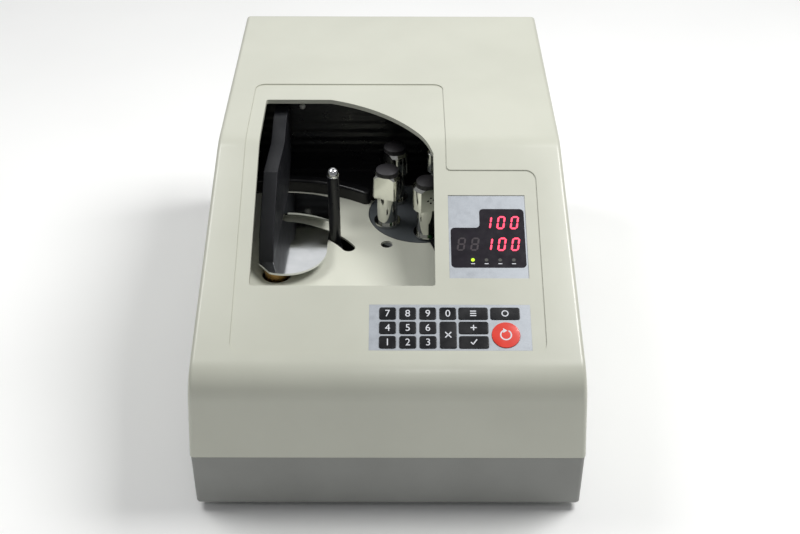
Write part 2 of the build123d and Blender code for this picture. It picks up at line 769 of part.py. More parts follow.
def arm_plane(z):
    """Horizontal plane over the hub whose X runs along the clamp arm."""
    turn = radians(ROD_ANGLE)
    return Plane(origin=(HUB.X, HUB.Y, z), x_dir=(cos(turn), sin(turn), 0), z_dir=(0, 0, 1))


with BuildPart() as clamp_arm:
    with BuildSketch(arm_plane(ARM_Z)):
        Circle(ARM_RING)
        with Locations((SLOT_RADIUS / 2, 0)):
            SlotCenterToCenter(SLOT_RADIUS, ARM_WIDTH)
        Circle(HUB_RADIUS + RUNNING, mode=Mode.SUBTRACT)
        with Locations((SLOT_RADIUS, 0)):
            Circle(SPIGOT_RADIUS, mode=Mode.SUBTRACT)
    extrude(amount=ARM_THICK)
clamp_arm.part.label = "clamp_arm"
export_step(clamp_arm.part, "parts/clamp_arm.step")

ROD_TOP_Z = DECK_Z + ROD_TOP

with BuildPart() as clamp_rod:
    with BuildSketch(arm_plane(ARM_Z)):
        with Locations((SLOT_RADIUS, 0)):
            Circle(SPIGOT_RADIUS)
    extrude(amount=ARM_THICK)
    with BuildSketch(arm_plane(ARM_TOP_Z)):
        with Locations((SLOT_RADIUS, 0)):
            Circle(ROD_RADIUS)
    extrude(amount=ROD_TOP_Z - ARM_TOP_Z)
clamp_rod.part.label = "clamp_rod"
export_step(clamp_rod.part, "parts/clamp_rod.step")

with BuildPart() as clamp_ball:
    with Locations((*polar(HUB, SLOT_RADIUS, ROD_ANGLE), ROD_TOP_Z + BALL_RISE)):
        Sphere(BALL_RADIUS)
    split(bisect_by=level(ROD_TOP_Z), keep=Keep.TOP)
clamp_ball.part.label = "clamp_ball"
export_step(clamp_ball.part, "parts/clamp_ball.step")


# ---------------------------------------------------------------- carousel
def gear_outline(teeth, phase):
    """Spur gear with involute flanks drawn as chords, one tooth pointing at phase."""
    pitch_radius = MODULE * teeth / 2
    base_radius = pitch_radius * cos(radians(PRESSURE_ANGLE))
    radii = (pitch_radius - DEDENDUM * MODULE, pitch_radius, pitch_radius + MODULE)

    def involute(radius):
        lean = acos(min(1.0, base_radius / radius))
        return tan(lean) - lean

    at_pitch = (pi * MODULE / 2 - BACKLASH) / (2 * pitch_radius)
    flank = [(r, degrees(at_pitch + involute(pitch_radius) - involute(r))) for r in radii]
    points = []
    for tooth in range(teeth):
        middle = phase + 360 * tooth / teeth
        points += [polar(Vector(), r, middle - half) for r, half in flank]
        points += [polar(Vector(), r, middle + half) for r, half in reversed(flank)]
    with BuildSketch(mode=Mode.PRIVATE) as outline:
        with BuildLine():
            Polyline(*points, close=True)
        make_face()
    return outline.sketch


DISC_UNDER_Z = DECK_Z - DISC_THICK
GEAR_TOP_Z = DISC_UNDER_Z - GEAR_DROP
CUP_RADIUS = SPINDLE_CIRCLE + MODULE * (PINION_TEETH / 2 + 1) + CUP_GAP
CUP_FLOOR_Z = GEAR_TOP_Z - PINION_WIDTH - GEAR_DROP - SUN_BOSS
BEARING_FOOT_Z = CUP_FLOOR_Z - CUP_FLOOR - BEARING_LENGTH
PULLEY_Z = BEARING_FOOT_Z - GEAR_DROP - PULLEY_WIDTH - 2 * PULLEY_FLANGE
SHAFT_FOOT_Z = PULLEY_Z - UNION_GRIP
step_angle = 360 / SPINDLES
spindle_angles = [SPINDLE_FIRST + step_angle * index for index in range(SPINDLES)]

with BuildPart() as turntable:
    with BuildSketch(level_at(CAROUSEL, DISC_UNDER_Z)):
        Circle(DISC_RADIUS)
        Circle(SPIGOT_RADIUS, mode=Mode.SUBTRACT)
        with PolarLocations(SPINDLE_CIRCLE, SPINDLES, start_angle=SPINDLE_FIRST):
            Circle(SPINDLE_JOURNAL + RUNNING, mode=Mode.SUBTRACT)
    extrude(amount=DISC_THICK)
turntable.part.label = "turntable"
export_step(turntable.part, "parts/turntable.step")

with BuildPart() as turntable_shaft:
    with BuildSketch(level_at(CAROUSEL, SHAFT_FOOT_Z)):
        Circle(SHAFT_RADIUS)
    extrude(amount=DISC_UNDER_Z - SHAFT_FOOT_Z)
    with BuildSketch(level_at(CAROUSEL, DISC_UNDER_Z)):
        Circle(SPIGOT_RADIUS)
    extrude(amount=DISC_THICK)
    with BuildSketch(level_at(CAROUSEL, DISC_UNDER_Z)):
        Circle(SHAFT_RADIUS + BOSS_WALL)
    extrude(amount=-GEAR_DROP / 2)
    with BuildSketch(level_at(CAROUSEL, SHAFT_FOOT_Z)):
        Circle(VACUUM_BORE)
    extrude(amount=GEAR_TOP_Z - SHAFT_FOOT_Z, mode=Mode.SUBTRACT)
turntable_shaft.part.label = "turntable_shaft"
export_step(turntable_shaft.part, "parts/turntable_shaft.step")

with BuildPart() as turntable_bearing:
    with BuildSketch(level_at(CAROUSEL, CUP_FLOOR_Z - CUP_FLOOR)):
        Circle(CUP_RADIUS + CUP_WALL)
    extrude(amount=DECK_UNDER - CUP_FLOOR_Z + CUP_FLOOR)
    with BuildSketch(level_at(CAROUSEL, DECK_UNDER)):
        Circle(CUP_FLANGE)
    extrude(amount=-CUP_FLOOR)
    with BuildSketch(level_at(CAROUSEL, CUP_FLOOR_Z)):
        Circle(CUP_RADIUS)
    extrude(amount=DECK_UNDER - CUP_FLOOR_Z, mode=Mode.SUBTRACT)
    with BuildSketch(level_at(CAROUSEL, BEARING_FOOT_Z)):
        Circle(SHAFT_RADIUS + BOSS_WALL)
    extrude(amount=BEARING_LENGTH)
    with BuildSketch(level_at(CAROUSEL, BEARING_FOOT_Z)):
        Circle(SHAFT_RADIUS + RUNNING)
    extrude(amount=BEARING_LENGTH + CUP_FLOOR, mode=Mode.SUBTRACT)
turntable_bearing.part.label = "turntable_bearing"
export_step(turntable_bearing.part, "parts/turntable_bearing.step")

with BuildPart() as sun_gear:
    with BuildSketch(level_at(CAROUSEL, CUP_FLOOR_Z)):
        Circle(SHAFT_RADIUS + BOSS_WALL)
    extrude(amount=SUN_BOSS + GEAR_DROP)
    with BuildSketch(level_at(CAROUSEL, GEAR_TOP_Z - PINION_WIDTH)):
        add(gear_outline(SUN_TEETH, SPINDLE_FIRST + 180 / SUN_TEETH))
    extrude(amount=PINION_WIDTH)
    with BuildSketch(level_at(CAROUSEL, CUP_FLOOR_Z)):
        Circle(SHAFT_RADIUS + SUN_CLEARANCE)
    extrude(amount=GEAR_TOP_Z - CUP_FLOOR_Z, mode=Mode.SUBTRACT)
sun_gear.part.label = "sun_gear"
export_step(sun_gear.part, "parts/sun_gear.step")

for index, angle in enumerate(spindle_angles):
    spot = Vector(*polar(CAROUSEL, SPINDLE_CIRCLE, angle))
    heading = radians(SUCTION_FIRST + SUCTION_ADVANCE * step_angle * index)
    facing = Vector(cos(heading), sin(heading))
    upright = Plane(origin=(spot.X, spot.Y, DECK_Z), x_dir=(1, 0, 0), z_dir=(0, -1, 0))
    spin_axis = Axis((spot.X, spot.Y, 0), (0, 0, 1))
    with BuildPart() as spindle:
        with BuildSketch(upright):
            with BuildLine():
                Polyline(
                    (0, -DISC_THICK - GEAR_DROP),
                    (SPINDLE_JOURNAL, -DISC_THICK - GEAR_DROP),
                    (SPINDLE_JOURNAL, BELT_GAP),
                    (BASE_RING, BELT_GAP),
                    (BASE_RING, RING_HEIGHT),
                    (COLUMN_RADIUS, RING_HEIGHT),
                    (COLUMN_RADIUS, SLEEVE_FOOT),
                    (SLEEVE_RADIUS, SLEEVE_FOOT),
                    (SLEEVE_RADIUS, SLEEVE_TOP - SLEEVE_BEVEL),
                    (SLEEVE_RADIUS - SLEEVE_BEVEL, SLEEVE_TOP),
                    (0, SLEEVE_TOP),
                    close=True,
                )
            profile = make_face()
            foot = profile.vertices().sort_by_distance(
                upright.from_local_coords((COLUMN_RADIUS, RING_HEIGHT))
            )[0]
            fillet(foot, BASE_RING - COLUMN_RADIUS - BASE_INSET)
        revolve(axis=spin_axis)
        with BuildSketch(level_at(spot, GEAR_TOP_Z - PINION_WIDTH)):
            add(gear_outline(PINION_TEETH, angle + 180))
        extrude(amount=PINION_WIDTH)
        for side in (-1, 1):
            flat = Plane(
                origin=(
                    spot.X + side * facing.X * SLEEVE_FLAT,
                    spot.Y + side * facing.Y * SLEEVE_FLAT,
                    DECK_Z + (SLEEVE_FOOT + SLEEVE_TOP) / 2,
                ),
                x_dir=(0, 0, 1),
                z_dir=facing * side,
            )
            with BuildSketch(flat):
                Rectangle(SLEEVE_TOP - SLEEVE_FOOT, 2 * SLEEVE_RADIUS)
            extrude(amount=SLEEVE_RADIUS, mode=Mode.SUBTRACT)
        with BuildSketch(flat):
            with PolarLocations(SUCTION_SPREAD, SUCTION_HOLES):
                Circle(SUCTION_HOLE)
        extrude(amount=-SLEEVE_FLAT, mode=Mode.SUBTRACT)
        with BuildSketch(level_at(spot, GEAR_TOP_Z - PINION_WIDTH)):
            Circle(VACUUM_BORE)
        extrude(until=Until.LAST, mode=Mode.SUBTRACT)
        with BuildSketch(level_at(spot, DECK_Z + SLEEVE_TOP)):
            Circle(CAP_PLUG)
        extrude(amount=-PLUG_DEPTH, mode=Mode.SUBTRACT)
    spindle.part.label = f"spindle_{index + 1}"
    export_step(spindle.part, f"parts/spindle_{index + 1}.step")

    with BuildPart() as spindle_cap:
        with BuildSketch(upright):
            with BuildLine():
                Polyline(
                    (0, SLEEVE_TOP - PLUG_DEPTH),
                    (CAP_PLUG, SLEEVE_TOP - PLUG_DEPTH),
                    (CAP_PLUG, SLEEVE_TOP),
                    (CAP_RADIUS, SLEEVE_TOP),
                    (CAP_RADIUS, CAP_TOP - CAP_DOME),
                )
                TangentArc((0, CAP_TOP), (CAP_RADIUS, CAP_TOP - CAP_DOME), tangent=(1, 0))
                Line((0, CAP_TOP), (0, SLEEVE_TOP - PLUG_DEPTH))
            make_face()
        revolve(axis=spin_axis)
    spindle_cap.part.label = f"spindle_cap_{index + 1}"
    export_step(spindle_cap.part, f"parts/spindle_cap_{index + 1}.step")

with BuildPart() as turntable_pulley:
    with BuildSketch(level_at(CAROUSEL, PULLEY_Z)):
        Circle(PULLEY_RADIUS + PULLEY_RIM)
    extrude(amount=PULLEY_FLANGE)
    with BuildSketch(level_at(CAROUSEL, PULLEY_Z + PULLEY_FLANGE)):
        Circle(PULLEY_RADIUS)
    extrude(amount=PULLEY_WIDTH)
    with BuildSketch(level_at(CAROUSEL, PULLEY_Z + PULLEY_FLANGE + PULLEY_WIDTH)):
        Circle(PULLEY_RADIUS + PULLEY_RIM)
    extrude(amount=PULLEY_FLANGE)
    with BuildSketch(level_at(CAROUSEL, PULLEY_Z)):
        Circle(SHAFT_RADIUS)
    extrude(amount=PULLEY_WIDTH + 2 * PULLEY_FLANGE, mode=Mode.SUBTRACT)
turntable_pulley.part.label = "turntable_pulley"
export_step(turntable_pulley.part, "parts/turntable_pulley.step")

MOTOR_TOP_Z = PULLEY_Z - GEAR_DROP

with BuildPart() as motor_pulley:
    with BuildSketch(level_at(MOTOR, PULLEY_Z)):
        Circle(MOTOR_PULLEY_RADIUS + PULLEY_RIM)
    extrude(amount=PULLEY_FLANGE)
    with BuildSketch(level_at(MOTOR, PULLEY_Z + PULLEY_FLANGE)):
        Circle(MOTOR_PULLEY_RADIUS)
    extrude(amount=PULLEY_WIDTH)
    with BuildSketch(level_at(MOTOR, PULLEY_Z + PULLEY_FLANGE + PULLEY_WIDTH)):
        Circle(MOTOR_PULLEY_RADIUS + PULLEY_RIM)
    extrude(amount=PULLEY_FLANGE)
    with BuildSketch(level_at(MOTOR, MOTOR_TOP_Z - MOTOR_BORE + BASE_SHEET)):
        Circle(MOTOR_SHAFT)
    extrude(amount=MOTOR_BORE + GEAR_DROP)
motor_pulley.part.label = "motor_pulley"
export_step(motor_pulley.part, "parts/motor_pulley.step")

with BuildPart() as carousel_motor:
    with BuildSketch(level_at(MOTOR, FLOOR_Z)):
        RectangleRounded(2 * MOTOR_RADIUS + MOTOR_PLATE, 2 * MOTOR_RADIUS, EDGE_RADIUS)
    extrude(amount=MOTOR_PLATE_THICK)
    with BuildSketch(level_at(MOTOR, FLOOR_Z)):
        Circle(MOTOR_RADIUS)
    extrude(amount=MOTOR_TOP_Z - FLOOR_Z)
    chamfer(carousel_motor.faces().sort_by(Axis.Z)[-1].edges(), BASE_SHEET)
    with BuildSketch(level_at(MOTOR, MOTOR_TOP_Z)):
        Circle(MOTOR_SHAFT + RUNNING)
    extrude(amount=-MOTOR_BORE, mode=Mode.SUBTRACT)
carousel_motor.part.label = "carousel_motor"
export_step(carousel_motor.part, "parts/carousel_motor.step")

BELT_Z = PULLEY_Z + PULLEY_FLANGE + (PULLEY_WIDTH - BELT_WIDTH) / 2


def belt_hull(radius_out):
    """Outline round both pulleys at this distance outside their grooves."""
    with BuildSketch(mode=Mode.PRIVATE) as hull:
        with Locations(CAROUSEL):
            Circle(PULLEY_RADIUS + radius_out)
        with Locations(MOTOR):
            Circle(MOTOR_PULLEY_RADIUS + radius_out)
        make_hull()
    return hull.sketch


with BuildPart() as drive_belt:
    with BuildSketch(level(BELT_Z)):
        add(belt_hull(BELT_GAP + BELT_THICK))
        add(belt_hull(BELT_GAP), mode=Mode.SUBTRACT)
    extrude(amount=BELT_WIDTH)
drive_belt.part.label = "drive_belt"
export_step(drive_belt.part, "parts/drive_belt.step")


# ---------------------------------------------------------------- keypad
def key_rise(row):
    """Rise of a key row's middle up the panel."""
    return KEY_TOP_RISE - KEY_PITCH_RISE * row


def key_x(column):
    """X of a key column's middle."""
    return KEY_FIRST_X + KEY_PITCH_X * column


keys = {}
for row, digits in enumerate(("7890", "456", "123")):
    for column, digit in enumerate(digits):
        keys[f"key_{digit}"] = (key_x(column), key_rise(row), KEY_WIDTH, KEY_HEIGHT)
keys["key_clear"] = (key_x(CLEAR_COLUMN), key_rise(BETWEEN_ROWS), KEY_WIDTH, KEY_HEIGHT + KEY_PITCH_RISE)
for row, task in enumerate(("batch", "add", "check")):
    keys[f"key_{task}"] = (WIDE_KEY_X[0], key_rise(row), WIDE_KEY_WIDTH, KEY_HEIGHT)
keys["key_free"] = (WIDE_KEY_X[1], key_rise(0), WIDE_KEY_WIDTH, KEY_HEIGHT)
keys["key_reset"] = (WIDE_KEY_X[1], key_rise(BETWEEN_ROWS), 0, 0)


def key_outline(name, grow=0.0):
    """Outline of a key on the panel: a rounded rectangle, or a circle for reset."""
    x, rise, width, height = keys[name]
    with BuildSketch(mode=Mode.PRIVATE) as outline:
        with Locations((x, rise)):
            if width:
                RectangleRounded(width + 2 * grow, height + 2 * grow, KEY_CORNER + grow)
            else:
                Circle(RESET_KEY_RADIUS + grow)
    return outline.sketch


with BuildPart() as keypad_panel:
    with BuildSketch(panel_plane.offset(-KEYPAD_POCKET)):
        with Locations((KEYPAD_X, KEYPAD_RISE)):
            Rectangle(KEYPAD_WIDTH - 2 * OVERLAY_FIT, KEYPAD_HEIGHT - 2 * OVERLAY_FIT)
        for name in keys:
            add(key_outline(name, KEY_GAP), mode=Mode.SUBTRACT)
    extrude(amount=OVERLAY)
keypad_panel.part.label = "keypad_panel"
export_step(keypad_panel.part, "parts/keypad_panel.step")

KEY_FOOT = -KEYPAD_POCKET - OVERLAY_FIT - KEY_SKIRT_THICK
KEY_TOP = -FRAME_DEPTH + KEY_PROUD

for name in keys:
    with BuildPart() as key:
        with BuildSketch(panel_plane.offset(KEY_FOOT)):
            add(key_outline(name, KEY_SKIRT))
        extrude(amount=KEY_SKIRT_THICK)
        with BuildSketch(panel_plane.offset(KEY_FOOT)):
            add(key_outline(name))
        extrude(amount=KEY_TOP - KEY_FOOT)
        top_face = key.faces().sort_by(Axis((0, 0, 0), panel_plane.z_dir))[-1]
        fillet(top_face.edges(), KEY_EDGE)
    key.part.label = name
    export_step(key.part, f"parts/{name}.step")

KEYPAD_BOARD_TOP = KEY_FOOT - KEY_TRAVEL - SWITCH_HEIGHT

with BuildPart() as keypad_board:
    with BuildSketch(panel_plane.offset(KEYPAD_BOARD_TOP - BOARD)):
        with Locations((KEYPAD_X, KEYPAD_RISE)):
            Rectangle(KEYPAD_WIDTH + BOARD_MARGIN, KEYPAD_HEIGHT + BOARD_MARGIN)
    extrude(amount=BOARD)
    with BuildSketch(panel_plane.offset(KEYPAD_BOARD_TOP)):
        with Locations(*[place[:2] for place in keys.values()]):
            Circle(SWITCH_RADIUS)
    extrude(amount=SWITCH_HEIGHT - BELT_GAP)
    with BuildSketch(panel_plane.offset(KEYPAD_BOARD_TOP)):
        with Locations((KEYPAD_X, KEYPAD_RISE)):
            with GridLocations(KEYPAD_WIDTH + POST_RADIUS * 2, KEYPAD_HEIGHT + POST_RADIUS * 2, 2, 2):
                Circle(POST_RADIUS)
    extrude(amount=-COVER_WALL - KEYPAD_BOARD_TOP)
keypad_board.part.label = "keypad_board"
export_step(keypad_board.part, "parts/keypad_board.step")


# ---------------------------------------------------------------- display
with BuildPart() as display_panel:
    with BuildSketch(panel_plane.offset(-DISPLAY_POCKET)):
        with Locations((DISPLAY_X, DISPLAY_RISE)):
            Rectangle(DISPLAY_WIDTH - 2 * OVERLAY_FIT, DISPLAY_HEIGHT - 2 * OVERLAY_FIT)
        add(window_outline(OVERLAY_FIT), mode=Mode.SUBTRACT)
    extrude(amount=OVERLAY)
display_panel.part.label = "display_panel"
export_step(display_panel.part, "parts/display_panel.step")

WINDOW_TOP = OVERLAY - DISPLAY_POCKET

with BuildPart() as display_window:
    with BuildSketch(panel_plane.offset(WINDOW_TOP - WINDOW_THICK)):
        add(window_outline())
    extrude(amount=WINDOW_THICK)
display_window.part.label = "display_window"
export_step(display_window.part, "parts/display_window.step")

DISPLAY_BOARD_TOP = WINDOW_TOP - WINDOW_THICK - LAMP_RADIUS - DIGIT_DEPTH

with BuildPart() as display_board:
    with BuildSketch(panel_plane.offset(DISPLAY_BOARD_TOP - BOARD)):
        with Locations((DISPLAY_X, DISPLAY_RISE)):
            Rectangle(DISPLAY_WIDTH + BOARD_MARGIN, DISPLAY_HEIGHT + BOARD_MARGIN)
    extrude(amount=BOARD)
    with BuildSketch(panel_plane.offset(DISPLAY_BOARD_TOP)):
        for rise, first in DIGIT_ROWS:
            count = DIGIT_COLUMNS - first
            middle = DIGIT_FIRST_X + DIGIT_PITCH * (first + DIGIT_COLUMNS - 1) / 2
            with Locations((middle, rise)):
                Rectangle(DIGIT_PITCH * count, DIGIT_BLOCK)
    extrude(amount=DIGIT_DEPTH)
    with BuildSketch(panel_plane.offset(DISPLAY_BOARD_TOP)):
        with Locations((LAMP_FIRST_X + DIGIT_PITCH * (LAMP_COUNT - 1) / 2, LAMP_RISE)):
            with GridLocations(DIGIT_PITCH, 0, LAMP_COUNT, 1):
                Circle(LAMP_RADIUS)
    extrude(amount=DIGIT_DEPTH)
    with BuildSketch(panel_plane.offset(DISPLAY_BOARD_TOP)):
        with Locations((DISPLAY_X, DISPLAY_RISE)):
            with GridLocations(DISPLAY_WIDTH + POST_RADIUS, DISPLAY_HEIGHT + POST_RADIUS, 2, 2):
                Circle(POST_RADIUS)
    extrude(amount=-COVER_WALL - DISPLAY_BOARD_TOP)
display_board.part.label = "display_board"
export_step(display_board.part, "parts/display_board.step")


# ---------------------------------------------------------------- electrics and vacuum
def floor_block(x, front, width, length, height, stand=0.0):
    """Box on the base floor, or on a board that stands above it."""
    middle = (x, behind(front), FLOOR_Z + stand + height / 2)
    with Locations(middle):
        Box(width, length, height)


with BuildPart() as control_board:
    board_x, board_front = CONTROL_AT
    floor_block(board_x, board_front, *CONTROL_SIZE, BOARD, BOARD_STAND)
    with BuildSketch(level(FLOOR_Z)):
        with Locations((board_x, behind(board_front))):
            with GridLocations(CONTROL_SIZE[0] - BOARD_MARGIN, CONTROL_SIZE[1] - BOARD_MARGIN, 2, 2):
                Circle(POST_RADIUS)
    extrude(amount=BOARD_STAND)
    for shift, width, length, height in CONTROL_CHIPS:
        floor_block(board_x + shift, board_front, width, length, height, BOARD_STAND + BOARD)
control_board.part.label = "control_board"
export_step(control_board.part, "parts/control_board.step")

with BuildPart() as power_supply:
    supply_x, supply_front = SUPPLY_AT
    floor_block(supply_x, supply_front, *SUPPLY_SIZE, BOARD, BOARD_STAND)
    with BuildSketch(level(FLOOR_Z)):
        with Locations((supply_x, behind(supply_front))):
            with GridLocations(SUPPLY_SIZE[0] - BOARD_MARGIN, SUPPLY_SIZE[1] - BOARD_MARGIN, 2, 2):
                Circle(POST_RADIUS)
    extrude(amount=BOARD_STAND)
    for shift, width, length, height in SUPPLY_PARTS:
        floor_block(supply_x + shift, supply_front, width, length, height, BOARD_STAND + BOARD)
power_supply.part.label = "power_supply"
export_step(power_supply.part, "parts/power_supply.step")

PORT_Z = FLOOR_Z + PUMP_SIZE[2] / 2

with BuildPart() as vacuum_pump:
    pump_x, pump_front = PUMP_AT
    floor_block(pump_x, pump_front, *PUMP_SIZE)
    fillet(vacuum_pump.edges().filter_by(Axis.Y), EDGE_RADIUS)
    with BuildSketch(Plane.XZ.offset(-behind(pump_front + PUMP_SIZE[1] / 2))):
        with Locations((pump_x, PORT_Z)):
            Circle(PUMP_MOTOR_RADIUS)
    extrude(amount=-PUMP_MOTOR_LENGTH)
    port_plane = Plane(
        origin=(pump_x + PUMP_SIZE[0] / 2, behind(pump_front), PORT_Z),
        x_dir=(0, 1, 0),
        z_dir=(1, 0, 0),
    )
    with BuildSketch(port_plane):
        Circle(HOSE_RADIUS + BASE_SHEET)
    extrude(amount=PORT_LENGTH)
vacuum_pump.part.label = "vacuum_pump"
export_step(vacuum_pump.part, "parts/vacuum_pump.step")

UNION_Z = SHAFT_FOOT_Z - UNION_FLOOR
hose_start = (CAROUSEL.X, CAROUSEL.Y + UNION_RADIUS / 2, UNION_Z + HOSE_RADIUS)
hose_end = (pump_x + PUMP_SIZE[0] / 2 + PORT_LENGTH, behind(pump_front), PORT_Z)
hose_points = [
    hose_start,
    (CAROUSEL.X, behind(DECK_REAR), hose_start[2]),
    (hose_start[0] - HOSE_SWEEP, behind(pump_front), PORT_Z),
    hose_end,
]

with BuildPart() as suction_hose:
    with BuildLine() as hose_run:
        FilletPolyline(*hose_points, radius=HOSE_BEND)
    with BuildSketch(Plane(origin=hose_run.line @ 0, z_dir=hose_run.line % 0)):
        Circle(HOSE_RADIUS)
    sweep()
    with BuildSketch(level_at(CAROUSEL, UNION_Z - HOSE_RADIUS / 2)):
        Circle(UNION_RADIUS)
    extrude(amount=UNION_GRIP + UNION_FLOOR)
    with BuildSketch(level_at(CAROUSEL, SHAFT_FOOT_Z - BELT_GAP)):
        Circle(SHAFT_RADIUS + RUNNING)
    extrude(amount=UNION_GRIP, mode=Mode.SUBTRACT)
suction_hose.part.label = "suction_hose"
export_step(suction_hose.part, "parts/suction_hose.step")


# ---------------------------------------------------------------- mains inlet and switch
def inlet_plane(depth):
    """Plane parallel to the rear panel this far inside its outer face."""
    return Plane(
        origin=(INLET_X, REAR_FACE_Y - depth, INLET_Z),
        x_dir=(-1, 0, 0),
        z_dir=(0, 1, 0),
    )


ROCKER_X = INLET_X - ROCKER_SHIFT
ROCKER_Y = REAR_FACE_Y - ROCKER_AXIS_IN

with BuildPart() as power_inlet:
    with BuildSketch(inlet_plane(INLET_DEPTH)):
        Rectangle(*INLET_BODY)
    extrude(amount=INLET_DEPTH)
    with BuildSketch(inlet_plane(BASE_SHEET)):
        Rectangle(*INLET_FACE)
    extrude(amount=-INLET_LIP)
    with BuildSketch(inlet_plane(0)):
        with Locations((SOCKET_SHIFT, 0)):
            RectangleRounded(*SOCKET_SIZE, KEY_CORNER)
    extrude(amount=-SOCKET_DEPTH, mode=Mode.SUBTRACT)
    with BuildSketch(inlet_plane(SOCKET_DEPTH)):
        with Locations((SOCKET_SHIFT - PIN_SPACING, -PIN_SIZE[0] / 2), (SOCKET_SHIFT, PIN_SIZE[0]),
                       (SOCKET_SHIFT + PIN_SPACING, -PIN_SIZE[0] / 2)):
            Rectangle(*PIN_SIZE)
    extrude(amount=SOCKET_DEPTH - PIN_SHORT)
    with BuildSketch(inlet_plane(0)):
        with Locations((ROCKER_SHIFT, 0)):
            Rectangle(ROCKER_SIZE[0] + 2 * KEY_GAP, ROCKER_SIZE[1] + 2 * ROCKER_GAP)
    extrude(amount=-SOCKET_DEPTH, mode=Mode.SUBTRACT)
    with BuildSketch(Plane(origin=(ROCKER_X, ROCKER_Y, INLET_Z), x_dir=(0, 1, 0), z_dir=(1, 0, 0))):
        Circle(ROCKER_PIN + RUNNING)
    extrude(amount=ROCKER_SIZE[0] / 2 + ROCKER_PIN_LENGTH + KEY_GAP, both=True, mode=Mode.SUBTRACT)
power_inlet.part.label = "power_inlet"
export_step(power_inlet.part, "parts/power_inlet.step")

tilt = radians(ROCKER_TILT)
rocker_plane = Plane(
    origin=(ROCKER_X, ROCKER_Y, INLET_Z),
    x_dir=(0, cos(tilt), sin(tilt)),
    z_dir=(1, 0, 0),
)
half_rocker = ROCKER_SIZE[1] / 2

with BuildPart() as power_switch:
    with BuildSketch(rocker_plane):
        with BuildLine():
            Polyline(
                (ROCKER_HOLLOW, 0),
                (ROCKER_HOLLOW + half_rocker * tan(tilt), half_rocker),
                (-ROCKER_BACK / 2, half_rocker),
                (-ROCKER_BACK, 0),
                (-ROCKER_BACK / 2, -half_rocker),
                (ROCKER_HOLLOW + half_rocker * tan(tilt), -half_rocker),
                close=True,
            )
        make_face()
    extrude(amount=ROCKER_SIZE[0] / 2, both=True)
    with BuildSketch(rocker_plane):
        Circle(ROCKER_PIN)
    extrude(amount=ROCKER_SIZE[0] / 2 + ROCKER_PIN_LENGTH, both=True)
power_switch.part.label = "power_switch"
export_step(power_switch.part, "parts/power_switch.step")
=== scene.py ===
# %% [markdown]
# # A table-top banknote counter, finished in Blender
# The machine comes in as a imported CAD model: every piece is in place and knows which body
# it moves with. This lesson gives each piece its real surface and adds what CAD leaves out:
# the lit digits, the printed key legends, the lamps and an uneven, handled gloss.

# %% Load the frame
import json
import math

import bmesh
import bpy
import numpy as np
from mathutils import Matrix, Vector

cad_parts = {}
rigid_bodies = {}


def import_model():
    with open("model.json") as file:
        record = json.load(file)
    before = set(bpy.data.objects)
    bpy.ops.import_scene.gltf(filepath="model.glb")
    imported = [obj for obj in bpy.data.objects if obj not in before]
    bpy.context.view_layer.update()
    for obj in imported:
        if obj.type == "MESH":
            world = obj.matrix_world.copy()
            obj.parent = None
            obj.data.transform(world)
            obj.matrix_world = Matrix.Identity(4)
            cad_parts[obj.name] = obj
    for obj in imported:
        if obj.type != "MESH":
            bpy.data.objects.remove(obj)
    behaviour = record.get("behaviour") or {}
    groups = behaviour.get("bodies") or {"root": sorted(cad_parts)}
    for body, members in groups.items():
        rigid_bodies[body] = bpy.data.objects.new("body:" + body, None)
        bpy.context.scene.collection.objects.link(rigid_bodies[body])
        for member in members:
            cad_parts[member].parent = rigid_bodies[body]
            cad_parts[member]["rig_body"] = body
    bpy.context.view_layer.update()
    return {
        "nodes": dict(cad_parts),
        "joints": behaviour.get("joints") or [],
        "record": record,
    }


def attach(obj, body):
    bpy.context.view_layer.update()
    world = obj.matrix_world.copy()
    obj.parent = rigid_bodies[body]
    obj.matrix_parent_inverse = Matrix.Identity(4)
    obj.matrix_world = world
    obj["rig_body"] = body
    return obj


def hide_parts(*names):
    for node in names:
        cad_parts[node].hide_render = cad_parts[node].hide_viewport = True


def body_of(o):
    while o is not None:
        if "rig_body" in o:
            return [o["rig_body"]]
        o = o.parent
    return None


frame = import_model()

MM = 0.001
nodes = frame["nodes"]

# %% [markdown]
# ## The camera
# A product picture of this kind is taken from above the operator's seat with a short
# telephoto lens. A camera is placed here by its own three axes, because a position, a pitch,
# a yaw and a roll are then all that has to be written down.

# %% Camera
CAMERA_PLACE = Vector((0.0079, -0.9342, 0.7660))
CAMERA_PITCH, CAMERA_YAW, CAMERA_ROLL = (math.radians(a) for a in (36.39, 0.114, -0.186))
LENS = 54.7

ahead = Vector((
    math.sin(CAMERA_YAW) * math.cos(CAMERA_PITCH),
    math.cos(CAMERA_YAW) * math.cos(CAMERA_PITCH),
    -math.sin(CAMERA_PITCH),
))
side = Vector((math.cos(CAMERA_YAW), -math.sin(CAMERA_YAW), 0.0))
down = ahead.cross(side)
right = math.cos(CAMERA_ROLL) * side + math.sin(CAMERA_ROLL) * down
below = math.cos(CAMERA_ROLL) * down - math.sin(CAMERA_ROLL) * side
camera_data = bpy.data.cameras.new("camera")
camera_data.lens = LENS
camera_data.clip_start = 0.01
camera = bpy.data.objects.new("camera", camera_data)
bpy.context.scene.collection.objects.link(camera)
turn = Matrix((right, -below, -ahead)).transposed().to_4x4()
camera.matrix_world = Matrix.Translation(CAMERA_PLACE) @ turn
bpy.context.scene.camera = camera

# %% [markdown]
# ## Colours and nodes
# A picked colour is sRGB, and a shader wants linear light, so one function turns a hex value
# to linear. A second adds one shader node with its settings and links. Everything else about
# a finish is written out where the finish is made.


# %% Colour and node helpers
TINT_STOPS = (0.35, 0.65)


